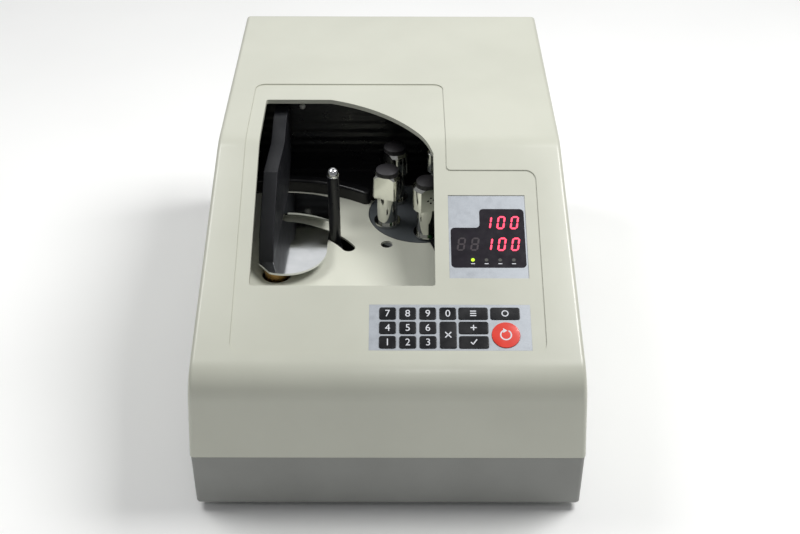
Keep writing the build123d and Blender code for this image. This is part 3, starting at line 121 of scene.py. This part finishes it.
def linear(hex_code, alpha=1.0):
    """Hex colour to linear light: each channel over 255, then the sRGB curve undone."""
    channels = [int(hex_code[i:i + 2], 16) / 255 for i in (1, 3, 5)]
    bright = [c / 12.92 if c <= 0.04045 else ((c + 0.055) / 1.055) ** 2.4 for c in channels]
    return (*bright, alpha)


def add_node(tree, kind, inputs=None, **settings):
    """Add one node: settings are its properties, inputs its sockets' values or links."""
    new = tree.nodes.new(kind)
    for name, value in settings.items():
        setattr(new, name, value)
    for name, value in (inputs or {}).items():
        if isinstance(value, bpy.types.NodeSocket):
            tree.links.new(value, new.inputs[name])
        else:
            new.inputs[name].default_value = value
    return new


def start_material(name, hex_code, roughness, metallic=0.0, **sockets):
    """A Principled material with its plain values set, ready for patterns to be linked."""
    material = bpy.data.materials.new(name)
    material.use_nodes = True
    tree = material.node_tree
    shader = tree.nodes["Principled BSDF"]
    shader.inputs["Base Color"].default_value = linear(hex_code)
    shader.inputs["Roughness"].default_value = roughness
    shader.inputs["Metallic"].default_value = metallic
    for socket, value in sockets.items():
        shader.inputs[socket.replace("_", " ")].default_value = value
    place = add_node(tree, "ShaderNodeTexCoord").outputs["Object"]
    return material, tree, shader, place


def grains(size_mm):
    """Scale of a noise or Voronoi texture whose grains are this many millimetres across."""
    return 1.0 / (size_mm * MM)


def noise(tree, place, size_mm, detail):
    """Noise texture with grains of the given size and so many octaves of detail."""
    return add_node(tree, "ShaderNodeTexNoise", {"Vector": place, "Scale": grains(size_mm), "Detail": detail})


def tint(tree, shader, place, size_mm, hex_low, hex_high):
    """Base colour that drifts between two close colours over patches of the given size."""
    cloud = noise(tree, place, size_mm, 4.0)
    ramp = add_node(tree, "ShaderNodeValToRGB", {"Fac": cloud.outputs["Fac"]})
    for stop, where, hex_code in zip(ramp.color_ramp.elements, TINT_STOPS, (hex_low, hex_high)):
        stop.position = where
        stop.color = linear(hex_code)
    tree.links.new(ramp.outputs["Color"], shader.inputs["Base Color"])


def rub(tree, shader, place, size_mm, low, high):
    """Roughness that wanders between two values, as handling and wiping leave it."""
    cloud = noise(tree, place, size_mm, 5.0)
    spread = add_node(tree, "ShaderNodeMapRange", {
        "Value": cloud.outputs["Fac"], "From Min": 0.3, "From Max": 0.7, "To Min": low, "To Max": high})
    tree.links.new(spread.outputs["Result"], shader.inputs["Roughness"])


def relief(tree, shader, height, depth_mm):
    """Bump from a height socket, with its depth in millimetres."""
    bump = add_node(tree, "ShaderNodeBump", {"Height": height, "Distance": depth_mm * MM, "Strength": 1.0})
    tree.links.new(bump.outputs["Normal"], shader.inputs["Normal"])


# %% [markdown]
# ## Painted and moulded casings
# The cover is cream, semi-gloss, with the faint orange-peel of sprayed lacquer on a moulding:
# soft bumps about 2 mm across and a few micrometres deep, which make a highlight waver. The
# base is grey powder coat, where the same bumps are smaller, closer and duller.


# %% Lacquered cover and powder-coated base
def lacquer(name, low, high, roughness, peel_mm=2.2, depth_mm=0.012):
    """Sprayed semi-gloss lacquer: drifting tint, orange-peel bump, faint clear layer."""
    material, tree, shader, place = start_material(
        name, high, roughness, Coat_Weight=0.25, Coat_Roughness=0.18)
    tint(tree, shader, place, 90.0, low, high)
    peel = noise(tree, place, peel_mm, 1.0)
    relief(tree, shader, peel.outputs["Fac"], depth_mm)
    rub(tree, shader, place, 25.0, roughness - 0.04, roughness + 0.05)
    return material


def powder_coat(name, low, high, grain_mm=0.8):
    """Baked powder: fine close grain, even and dull."""
    material, tree, shader, place = start_material(name, high, 0.5)
    tint(tree, shader, place, 60.0, low, high)
    grain = noise(tree, place, grain_mm, 3.0)
    relief(tree, shader, grain.outputs["Fac"], 0.03)
    rub(tree, shader, place, 18.0, 0.42, 0.56)
    return material


finishes = {
    "cover_cream": lacquer("sprayed_lacquer_cream", "#C0C1B3", "#C5C6B8", 0.33),
    "deck_cream": lacquer("sprayed_lacquer_deck", "#D2D3C5", "#D8D9CB", 0.36),
    "base_grey": powder_coat("powder_coat_grey", "#8A8B87", "#91928E"),
}

# %% [markdown]
# ## Black plastics and films
# The holder and guide are moulded in black with a fine spark-eroded grain, the chamber is
# lined with smoother sheet, and rubber is duller than either. They differ in grain and in
# gloss far more than in colour.


# %% Black mouldings, liner and rubber
def black_moulding(name, low, high, roughness, grain_mm=0.5, depth_mm=0.03):
    """Grained black moulding: grain from fine noise, wear from wandering roughness."""
    material, tree, shader, place = start_material(name, high, roughness)
    tint(tree, shader, place, 30.0, low, high)
    grain = noise(tree, place, grain_mm, 2.0)
    relief(tree, shader, grain.outputs["Fac"], depth_mm)
    rub(tree, shader, place, 14.0, roughness - 0.06, roughness + 0.08)
    return material


def pressed_liner(name, low, high, rib_mm=9.0):
    """Black liner sheet with shallow ribs pressed across it: height is a sine of Z."""
    material = black_moulding(name, low, high, 0.3, 3.0, 0.02)
    tree = material.node_tree
    shader = tree.nodes["Principled BSDF"]
    place = add_node(tree, "ShaderNodeTexCoord").outputs["Object"]
    ribs = add_node(tree, "ShaderNodeTexWave", {"Vector": place, "Scale": 2 * math.pi / (20 * rib_mm * MM),
                                                "Distortion": 0.0}, bands_direction="Z")
    relief(tree, shader, ribs.outputs["Fac"], 0.35)
    return material


finishes.update({
    "holder_black": black_moulding("grained_abs_holder", "#131418", "#191A1E", 0.42),
    "guide_black": black_moulding("moulded_nylon_guide", "#0C0C0E", "#131315", 0.35),
    "liner_black": pressed_liner("pressed_liner_sheet", "#0B0B0D", "#111113"),
    "cap_black": black_moulding("moulded_cap", "#1E1C1F", "#282629", 0.5),
    "rod_black": black_moulding("black_oxide_rod", "#101114", "#17181B", 0.3, 0.8, 0.006),
    "inlet_black": black_moulding("moulded_inlet", "#111113", "#18181A", 0.42),
    "switch_black": black_moulding("moulded_rocker", "#0D0D0F", "#131315", 0.28, 0.8, 0.006),
    "foot_rubber": black_moulding("nitrile_rubber_feet", "#121212", "#1A1A1A", 0.75, 1.2, 0.05),
    "belt_rubber": black_moulding("neoprene_belt", "#101010", "#181818", 0.7, 1.0, 0.04),
    "hose_rubber": black_moulding("silicone_hose", "#1B1B1C", "#252526", 0.55, 2.0, 0.02),
    "key_black": black_moulding("moulded_key_black", "#0E0F12", "#141518", 0.26, 0.9, 0.008),
    "disc_grey": black_moulding("hard_anodised_disc", "#4A4E51", "#555A5D", 0.4, 0.7, 0.012),
})

# %% [markdown]
# ## Bright metals
# Chrome plate is metallic, nearly mirror smooth, and shows only what surrounds it, so its
# realism comes from faint smears. Turned metal carries rings and brushed metal carries lines:
# both are noise stretched along one direction.


# %% Chrome, mirror sheet, brass and turned steel
def bright_plate(name, low, high, smooth, dull, smear_mm=9.0):
    """Polished plate: smears change the roughness, a very shallow wave moves reflections."""
    material, tree, shader, place = start_material(name, high, smooth, metallic=1.0)
    tint(tree, shader, place, 20.0, low, high)
    rub(tree, shader, place, smear_mm, smooth, dull)
    wave = noise(tree, place, 12.0, 1.0)
    relief(tree, shader, wave.outputs["Fac"], 0.01)
    return material


def machined(name, low, high, line_mm, squash):
    """Machined metal: noise squeezed along some axes leaves the tool's lines."""
    material, tree, shader, place = start_material(name, high, 0.32, metallic=1.0)
    tint(tree, shader, place, 12.0, low, high)
    stretch = add_node(tree, "ShaderNodeMapping", {"Vector": place, "Scale": squash})
    lines = noise(tree, stretch.outputs["Vector"], line_mm, 3.0)
    relief(tree, shader, lines.outputs["Fac"], 0.02)
    rub(tree, shader, place, 10.0, 0.25, 0.42)
    return material


UPRIGHT_LINES = (1.0, 1.0, 0.04)
TURNED_RINGS = (0.04, 0.04, 1.0)
finishes.update({
    "spindle_chrome": bright_plate("chrome_plate_spindle", "#D9D9D2", "#E4E4DD", 0.05, 0.12),
    "ball_chrome": bright_plate("chrome_plate_ball", "#DADADA", "#E8E8E8", 0.04, 0.09),
    "table_mirror": bright_plate("mirror_polished_sheet", "#D4D7D8", "#DFE1E2", 0.05, 0.11, 16.0),
    "hub_brass": machined("turned_brass_hub", "#A8824E", "#B8935C", 0.6, TURNED_RINGS),
    "gear_steel": machined("hobbed_steel_gear", "#8B8C8E", "#9A9B9D", 0.5, UPRIGHT_LINES),
    "shaft_steel": machined("turned_steel_shaft", "#939497", "#A3A4A7", 0.5, TURNED_RINGS),
    "motor_steel": machined("drawn_steel_can", "#7F8185", "#909297", 0.9, UPRIGHT_LINES),
    "screw_steel": machined("zinc_plated_screw", "#A9ABAF", "#BDBFC3", 0.4, TURNED_RINGS),
    "bearing_alloy": machined("cast_alloy_housing", "#8E9093", "#9B9DA0", 1.4, (1.0, 1.0, 1.0)),
    "pulley_alloy": machined("turned_alloy_pulley", "#A5A7AA", "#B5B7BA", 0.5, TURNED_RINGS),
    "pump_alloy": machined("cast_alloy_pump", "#85878A", "#929497", 1.6, (1.0, 1.0, 1.0)),
})

# %% [markdown]
# ## Films, windows and boards
# The two silver overlays are polyester film with metallic ink printed on the back: flakes
# glint a little, and the face is satin. The display window is dark tinted acrylic, the reset
# key is glossy red, and the circuit boards are green lacquer over copper tracks.


# %% Overlay film, window, red key and boards
def silver_film(name, low, high):
    """Metallic ink under satin film: fine flakes vary both colour and roughness."""
    material, tree, shader, place = start_material(name, high, 0.4, metallic=0.35, Coat_Weight=0.3,
                                                   Coat_Roughness=0.3)
    tint(tree, shader, place, 0.6, low, high)
    flake = add_node(tree, "ShaderNodeTexVoronoi", {"Vector": place, "Scale": grains(0.7)})
    relief(tree, shader, flake.outputs["Distance"], 0.006)
    rub(tree, shader, place, 6.0, 0.34, 0.48)
    return material


def clear_cast(name, low, high, roughness):
    """Glossy cast or moulded plastic with a faint ripple."""
    material, tree, shader, place = start_material(
        name, high, roughness, Coat_Weight=0.5, Coat_Roughness=0.06)
    tint(tree, shader, place, 8.0, low, high)
    ripple = noise(tree, place, 5.0, 1.0)
    relief(tree, shader, ripple.outputs["Fac"], 0.008)
    rub(tree, shader, place, 7.0, roughness, roughness + 0.08)
    return material


def board_lacquer(name, track_mm=1.2):
    """Green solder resist over copper tracks: the tracks show as a lighter maze."""
    material, tree, shader, place = start_material(name, "#1E5A36", 0.35)
    cells = add_node(tree, "ShaderNodeTexVoronoi", {"Vector": place, "Scale": grains(track_mm)},
                     distance="MANHATTAN")
    ramp = add_node(tree, "ShaderNodeValToRGB", {"Fac": cells.outputs["Distance"]})
    ramp.color_ramp.elements[0].color = linear("#174A2C")
    ramp.color_ramp.elements[1].color = linear("#2B7448")
    tree.links.new(ramp.outputs["Color"], shader.inputs["Base Color"])
    relief(tree, shader, cells.outputs["Distance"], 0.03)
    return material


finishes.update({
    "overlay_silver": silver_film("silver_ink_film", "#A4A9AF", "#B2B7BC"),
    "window_dark": clear_cast("tinted_acrylic_window", "#17131A", "#1D1820", 0.16),
    "key_red": clear_cast("moulded_key_red", "#D5301F", "#E03A28", 0.3),
    "board_green": board_lacquer("board_solder_resist"),
})
for part in frame["record"]["subparts"]:
    shown = nodes[part["node"]]
    shown.data.materials.clear()
    shown.data.materials.append(finishes[part["material_slot"]])
print("finishes", len(finishes))
SLOT_OF = {part["node"]: part["material_slot"] for part in frame["record"]["subparts"]}

# %% [markdown]
# ## Shading the round faces
# A CAD mesh arrives as separate triangles, so a round face would shade as flat facets. A copy
# is merged at its shared points, every edge between faces that meet at less than a chosen
# angle is made smooth, and the copy stands for the CAD piece.

# %% Smooth copies of the CAD pieces
SMOOTH_BELOW = math.radians(32)
MERGE_MM = 0.002


def smoothed(node):
    """Merged copy of a CAD node, smooth except at edges sharper than SMOOTH_BELOW."""
    mesh = nodes[node].data.copy()
    work = bmesh.new()
    work.from_mesh(mesh)
    bmesh.ops.remove_doubles(work, verts=work.verts, dist=MERGE_MM * MM)
    bmesh.ops.dissolve_degenerate(work, edges=work.edges, dist=MERGE_MM * MM / 4)
    for face in work.faces:
        face.smooth = True
    for edge in work.edges:
        edge.smooth = len(edge.link_faces) == 2 and edge.calc_face_angle(0.0) < SMOOTH_BELOW
    work.to_mesh(mesh)
    work.free()
    if "custom_normal" in mesh.attributes:
        mesh.attributes.remove(mesh.attributes["custom_normal"])
    piece = bpy.data.objects.new(node + "_finished", mesh)
    bpy.context.scene.collection.objects.link(piece)
    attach(piece, body_of(nodes[node])[0])
    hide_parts(node)
    return piece


finished = {node: smoothed(node) for node in nodes}
print("smoothed", len(finished))

# %% [markdown]
# ## The panel's own axes
# The keys press straight into the slope, so their joint's axis is the slope's normal. With
# the X axis it gives the direction up the slope, and every mark on the panel is placed by
# its distance across, up and off the slope.

# %% Panel axes
press_axis = next(j["axis"] for j in frame["joints"] if j["name"] == "key_7_press")
OFF = np.array(press_axis) / np.linalg.norm(press_axis)
ACROSS = np.array([1.0, 0.0, 0.0])
UP = np.cross(OFF, ACROSS)
PANEL = np.stack([ACROSS, UP, OFF])


def panel_box(node):
    """Lowest and highest corner of a node measured across, up and off the slope."""
    mesh = nodes[node].data
    flat = np.empty(len(mesh.vertices) * 3)
    mesh.vertices.foreach_get("co", flat)
    turned = flat.reshape(-1, 3) @ PANEL.T
    return turned.min(0), turned.max(0)


def mesh_piece(name, points, faces, material, body="root", slot=None, smooth=False):
    """New piece from arrays of points in metres and faces, riding on a body."""
    mesh = bpy.data.meshes.new(name)
    mesh.from_pydata([tuple(p) for p in np.asarray(points)], [], [tuple(map(int, f)) for f in faces])
    mesh.materials.append(material)
    mesh.polygons.foreach_set("use_smooth", [smooth] * len(mesh.polygons))
    mesh.update()
    piece = bpy.data.objects.new(name, mesh)
    bpy.context.scene.collection.objects.link(piece)
    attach(piece, body)
    return piece


def slab(outlines, low, high):
    """Thin slabs between two heights off the slope, one for each outline of (across, up)."""
    points, faces = [], []
    for outline in outlines:
        flat = np.asarray(outline, float)
        count, start = len(flat), len(points)
        for height in (low, high):
            lift = np.full((count, 1), height)
            points.extend(np.hstack([flat, lift]) @ PANEL)
        ring = np.arange(count)
        after = np.roll(ring, -1)
        faces.append(start + ring[::-1])
        faces.append(start + count + ring)
        faces.extend(start + np.stack([ring, after, after + count, ring + count], 1))
    return points, faces


# %% [markdown]
# ## Lit digits
# A seven-segment figure is seven slim hexagons on a leaning grid. Half an inch high is the
# standard size; the width, bar thickness, gap and pitch are given beside it. Lit bars glow red
# in the window, and the two idle figures of the lower row just show as dull grey bars.

# %% Seven-segment figures
DIGIT_HIGH = 12.7 * MM
DIGIT_WIDE = 6.6 * MM
BAR_THICK = 1.55 * MM
BAR_GAP = 0.18 * MM
LEAN = math.tan(math.radians(9))
DIGIT_PITCH = 11.1 * MM
BARS = {"0": "abcdef", "1": "bc", "8": "abcdefg"}
half_w, half_h = (DIGIT_WIDE - BAR_THICK) / 2, (DIGIT_HIGH - BAR_THICK) / 2
ENDS = {
    "a": ((-half_w, half_h), (half_w, half_h)),
    "b": ((half_w, half_h), (half_w, 0)),
    "c": ((half_w, 0), (half_w, -half_h)),
    "d": ((-half_w, -half_h), (half_w, -half_h)),
    "e": ((-half_w, 0), (-half_w, -half_h)),
    "f": ((-half_w, half_h), (-half_w, 0)),
    "g": ((-half_w, 0), (half_w, 0)),
}


def figure(character, middle):
    """Hexagon outlines of one figure: pointed bars between corner points, then leant over."""
    outlines = []
    for bar in BARS[character]:
        start, end = np.array(ENDS[bar][0]), np.array(ENDS[bar][1])
        along = (end - start) / np.linalg.norm(end - start)
        across = np.array([along[1], -along[0]]) * BAR_THICK / 2
        start, end = start + along * BAR_GAP, end - along * BAR_GAP
        nose = along * BAR_THICK / 2
        flat = np.array([start, start + nose + across, end - nose + across, end, end - nose - across,
                         start + nose - across])
        if np.cross(flat[1] - flat[0], flat[2] - flat[1]) < 0:
            flat = flat[::-1]
        flat[:, 0] += flat[:, 1] * LEAN
        outlines.append(flat + middle)
    return outlines


def glow(name, hex_code, strength):
    """Light-emitting plastic: a tinted body with its own even light."""
    material, tree, shader, place = start_material(name, hex_code, 0.35)
    tint(tree, shader, place, 1.5, hex_code, hex_code)
    shader.inputs["Emission Color"].default_value = linear(hex_code)
    shader.inputs["Emission Strength"].default_value = strength
    return material


UPPER_ROW_IN = 43.2 * MM
LOWER_ROW_IN = 22.3 * MM
FIRST_COLUMN_IN = 8.6 * MM
window_low, window_high = panel_box("display_window")
ROW_UP = {"upper": window_low[1] + UPPER_ROW_IN, "lower": window_low[1] + LOWER_ROW_IN}
FIRST_COLUMN = window_low[0] + FIRST_COLUMN_IN
face = window_high[2]
SHOWN = {"upper": {2: "1", 3: "0", 4: "0"}, "lower": {2: "1", 3: "0", 4: "0"}}
lit, idle = [], []
for row, figures in SHOWN.items():
    for column, character in figures.items():
        lit += figure(character, np.array([FIRST_COLUMN + column * DIGIT_PITCH, ROW_UP[row]]))
for column in (0, 1):
    idle += figure("8", np.array([FIRST_COLUMN + column * DIGIT_PITCH, ROW_UP["lower"]]))
FILM = 0.05 * MM
SUNK = 0.3 * MM


def in_window(name, outlines, material, sunk=SUNK):
    """Slabs set in the window's face: sunk below it, and standing a film's thickness proud."""
    mesh_piece(name, *slab(outlines, face - sunk, face + FILM), material, slot="window_dark")


in_window("lit_digits", lit, glow("led_red", "#F5405C", 1.6))
in_window("idle_digits", idle, clear_cast("led_idle", "#2A2227", "#33292E", 0.35))
print("lit bars", len(lit))

# %% [markdown]
# ## Lamps and their marks
# Four small lamps stand under the lower row, the first one lit green. A short printed dash
# under each stands in for its legend.

# %% Status lamps
LAMP_RADIUS = 1.5 * MM
LAMP_UP = window_low[1] + 7.4 * MM
LAMP_X = window_low[0] + 17.6 * MM
MARK_BELOW, MARK_WIDE, MARK_HIGH, MARK_SUNK = 3.6 * MM, 3.2 * MM, 0.7 * MM, 0.2 * MM
ROUND = np.linspace(0, 2 * np.pi, 24, endpoint=False)


def disc_outline(x, up, radius):
    """Circle of points about a place on the panel."""
    return np.stack([x + radius * np.cos(ROUND), up + radius * np.sin(ROUND)], 1)


lamp_places = [LAMP_X + DIGIT_PITCH * i for i in range(4)]
lamps = [disc_outline(x, LAMP_UP, LAMP_RADIUS) for x in lamp_places]
in_window("lamp_lit", lamps[:1], glow("led_green", "#A8D820", 1.2))
in_window("lamps_idle", lamps[1:], clear_cast("lamp_idle", "#3A3A36", "#45453F", 0.4))


def bar_outline(x, up, wide, high):
    """Rectangle about a place on the panel."""
    return np.array([[x - wide / 2, up - high / 2], [x + wide / 2, up - high / 2],
                     [x + wide / 2, up + high / 2], [x - wide / 2, up + high / 2]])


white_ink = black_moulding("printed_white_ink", "#D2D4D8", "#DEE0E4", 0.5)
marks = [bar_outline(x, LAMP_UP - MARK_BELOW, MARK_WIDE, MARK_HIGH) for x in lamp_places]
in_window("lamp_marks", marks, white_ink, MARK_SUNK)

# %% [markdown]
# ## Key legends
# The ten numbered keys carry printed figures. The others carry plain signs: a cross, bars, a
# plus, a tick, a ring and a turning arrow. Text is made a mesh first, then laid on its key.


# %% Printed numerals and signs
NUMERAL_HIGH = 6.2 * MM
HIGH_SHARE = 0.72


def key_face(node):
    """Middle of a key's top face across and up the slope, and its height off it."""
    low, high = panel_box(node)
    return (low[:2] + high[:2]) / 2, high[2]


def numeral(character, node, height):
    """Printed figure on a key: a flat text outline made a mesh, centred on the key's face."""
    curve = bpy.data.curves.new("numeral", "FONT")
    curve.body = character
    curve.size = height / HIGH_SHARE
    curve.extrude = FILM
    text = bpy.data.objects.new("numeral", curve)
    bpy.context.scene.collection.objects.link(text)
    bpy.context.view_layer.update()
    shape = bpy.data.meshes.new_from_object(text.evaluated_get(bpy.context.evaluated_depsgraph_get()))
    bpy.data.objects.remove(text)
    flat = np.empty(len(shape.vertices) * 3)
    shape.vertices.foreach_get("co", flat)
    flat = flat.reshape(-1, 3)
    middle, top = key_face(node)
    flat[:, :2] += middle - (flat[:, :2].min(0) + flat[:, :2].max(0)) / 2
    flat[:, 2] += top
    shape.vertices.foreach_set("co", (flat @ PANEL).ravel())
    shape.name = node + "_numeral"
    shape.materials.clear()
    shape.materials.append(white_ink)
    piece = bpy.data.objects.new(node + "_numeral", shape)
    bpy.context.scene.collection.objects.link(piece)
    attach(piece, body_of(nodes[node])[0])


for digit in "1234567890":
    numeral(digit, "key_" + digit, NUMERAL_HIGH)


def stroke(start, end, wide):
    """Rectangle along a line between two points."""
    start, end = np.array(start, float), np.array(end, float)
    along = (end - start) / np.linalg.norm(end - start)
    across = np.array([-along[1], along[0]]) * wide / 2
    return np.array([start - across, end - across, end + across, start + across])


def ring_strokes(radius, wide, start, sweep, count=22):
    """Part of a ring as short quads between an inner and an outer arc."""
    angles = np.radians(start) + np.radians(sweep) * np.linspace(0, 1, count + 1)
    spokes = np.stack([np.cos(angles), np.sin(angles)], 1)
    inner, outer = spokes * (radius - wide / 2), spokes * (radius + wide / 2)
    return [np.array([inner[i], outer[i], outer[i + 1], inner[i + 1]]) for i in range(count)]


INK = 0.9 * MM
reach = 2.4 * MM
RESET_RING, RESET_INK = 4.2 * MM, 1.1 * MM
RESET_ARROW = np.array([[-2.1, 5.9], [-2.1, 1.7], [1.2, 3.8]]) * MM
SIGNS = {
    "key_clear": [stroke((-reach, -reach), (reach, reach), INK),
                  stroke((-reach, reach), (reach, -reach), INK)],
    "key_batch": [stroke((-reach, up * MM), (reach, up * MM), INK) for up in (-2.0, 0.0, 2.0)],
    "key_add": [stroke((-reach, 0), (reach, 0), INK), stroke((0, -reach), (0, reach), INK)],
    "key_check": [stroke((-reach, 0), (-0.3 * reach, -0.8 * reach), INK),
                  stroke((-0.35 * reach, -0.85 * reach), (reach, reach), INK)],
    "key_free": ring_strokes(reach, INK, 0, 360),
    "key_reset": ring_strokes(RESET_RING, RESET_INK, 120, 300) + [RESET_ARROW],
}
for key, strokes in SIGNS.items():
    middle, top = key_face(key)
    mesh_piece(key + "_sign", *slab([line + middle for line in strokes], top - FILM, top + FILM), white_ink,
               body_of(nodes[key])[0], SLOT_OF[key])

# %% [markdown]
# ## Inside the chamber
# A dark lens looks up through the small hole in the deck to sense the notes, and a white
# plastic rivet holds the liner near its top.


# %% Lens and rivet
def turned(name, profile, centre, axis, material, slot, count=40):
    """Solid of revolution: each profile point (radius, height) swept round the axis at centre."""
    profile = np.asarray(profile) * MM
    axis = np.asarray(axis, float)
    first = np.cross(axis, [1.0, 0.3, 0.2])
    first /= np.linalg.norm(first)
    second = np.cross(axis, first)
    angles = np.linspace(0, 2 * np.pi, count, endpoint=False)
    spokes = np.outer(np.cos(angles), first) + np.outer(np.sin(angles), second)
    rings = profile[:, 0, None, None] * spokes + profile[:, 1, None, None] * axis
    points = rings.reshape(-1, 3) + np.asarray(centre) * MM
    ring = np.arange(count)
    after = np.roll(ring, -1)
    steps = count * np.arange(len(profile) - 1)[:, None, None]
    quads = np.stack([ring, after, after + count, ring + count], 1)[None] + steps
    caps = [ring[::-1], ring + count * (len(profile) - 1)]
    return mesh_piece(name, points, [*caps, *quads.reshape(-1, 4)], material, slot=slot, smooth=True)


lens = clear_cast("smoked_lens", "#08070A", "#0C0A0E", 0.12)
nylon = black_moulding("white_nylon_rivet", "#D8D8D2", "#E4E4DE", 0.45)
turned("sensor_lens", [(4.9, 0), (4.9, 5.0), (4.2, 6.0), (2.4, 6.8), (0.2, 7.1)], (-2.2, -47.9, 128.6),
       (0, 0, 1), lens, "liner_black")
turned("liner_rivet", [(2.9, 0), (2.9, 1.0), (2.2, 1.9), (0.9, 2.4), (0.2, 2.5)], (-82.4, 77.5, 208.5),
       (0, -1, 0), nylon, "liner_black")

# %% [markdown]
# ## Floor and light
# A pale floor, a strong soft lamp high on the right, a weaker one on the left, and a narrow
# one above the camera that draws the highlight along the nose. A dim wide one behind is what
# the polished table mirrors. Nothing hangs straight overhead, because the slope would mirror
# it into the dark window and the keys.

# %% Stage
floor_material, tree, shader, place = start_material("pale_paper_floor", "#FAFAF8", 0.9)
tint(tree, shader, place, 400.0, "#F9F9F7", "#FDFDFB")
floor_mesh = bpy.data.meshes.new("floor")
floor_mesh.from_pydata([(-6, -6, 0), (6, -6, 0), (6, 6, 0), (-6, 6, 0)], [], [(0, 1, 2, 3)])
floor_mesh.materials.append(floor_material)
floor = bpy.data.objects.new("floor", floor_mesh)
bpy.context.scene.collection.objects.link(floor)


def soft_lamp(name, place, aim, size, power):
    """Square area lamp at a place, turned to face a point."""
    data = bpy.data.lights.new(name, "AREA")
    data.size = size
    data.energy = power
    lamp = bpy.data.objects.new(name, data)
    bpy.context.scene.collection.objects.link(lamp)
    lamp.location = place
    lamp.rotation_euler = (Vector(aim) - Vector(place)).to_track_quat("-Z", "Y").to_euler()


soft_lamp("lamp_right", (0.85, 0.1, 1.55), (0, 0, 0.1), 0.7, 21.5)
soft_lamp("lamp_left", (-0.8, 0.2, 1.5), (0, 0, 0.1), 0.7, 10.0)
soft_lamp("lamp_front", (0.15, -1.15, 1.75), (0, -0.1, 0.15), 0.2, 1.3)
soft_lamp("lamp_rear", (-0.1, 1.9, 1.5), (0, 0, 0.15), 1.4, 4.0)
world = bpy.data.worlds.new("surround")
bpy.context.scene.world = world
world.use_nodes = True
world.node_tree.nodes["Background"].inputs["Color"].default_value = linear("#F4F6FA")
world.node_tree.nodes["Background"].inputs["Strength"].default_value = 0.24
bpy.context.scene.view_settings.view_transform = "Standard"
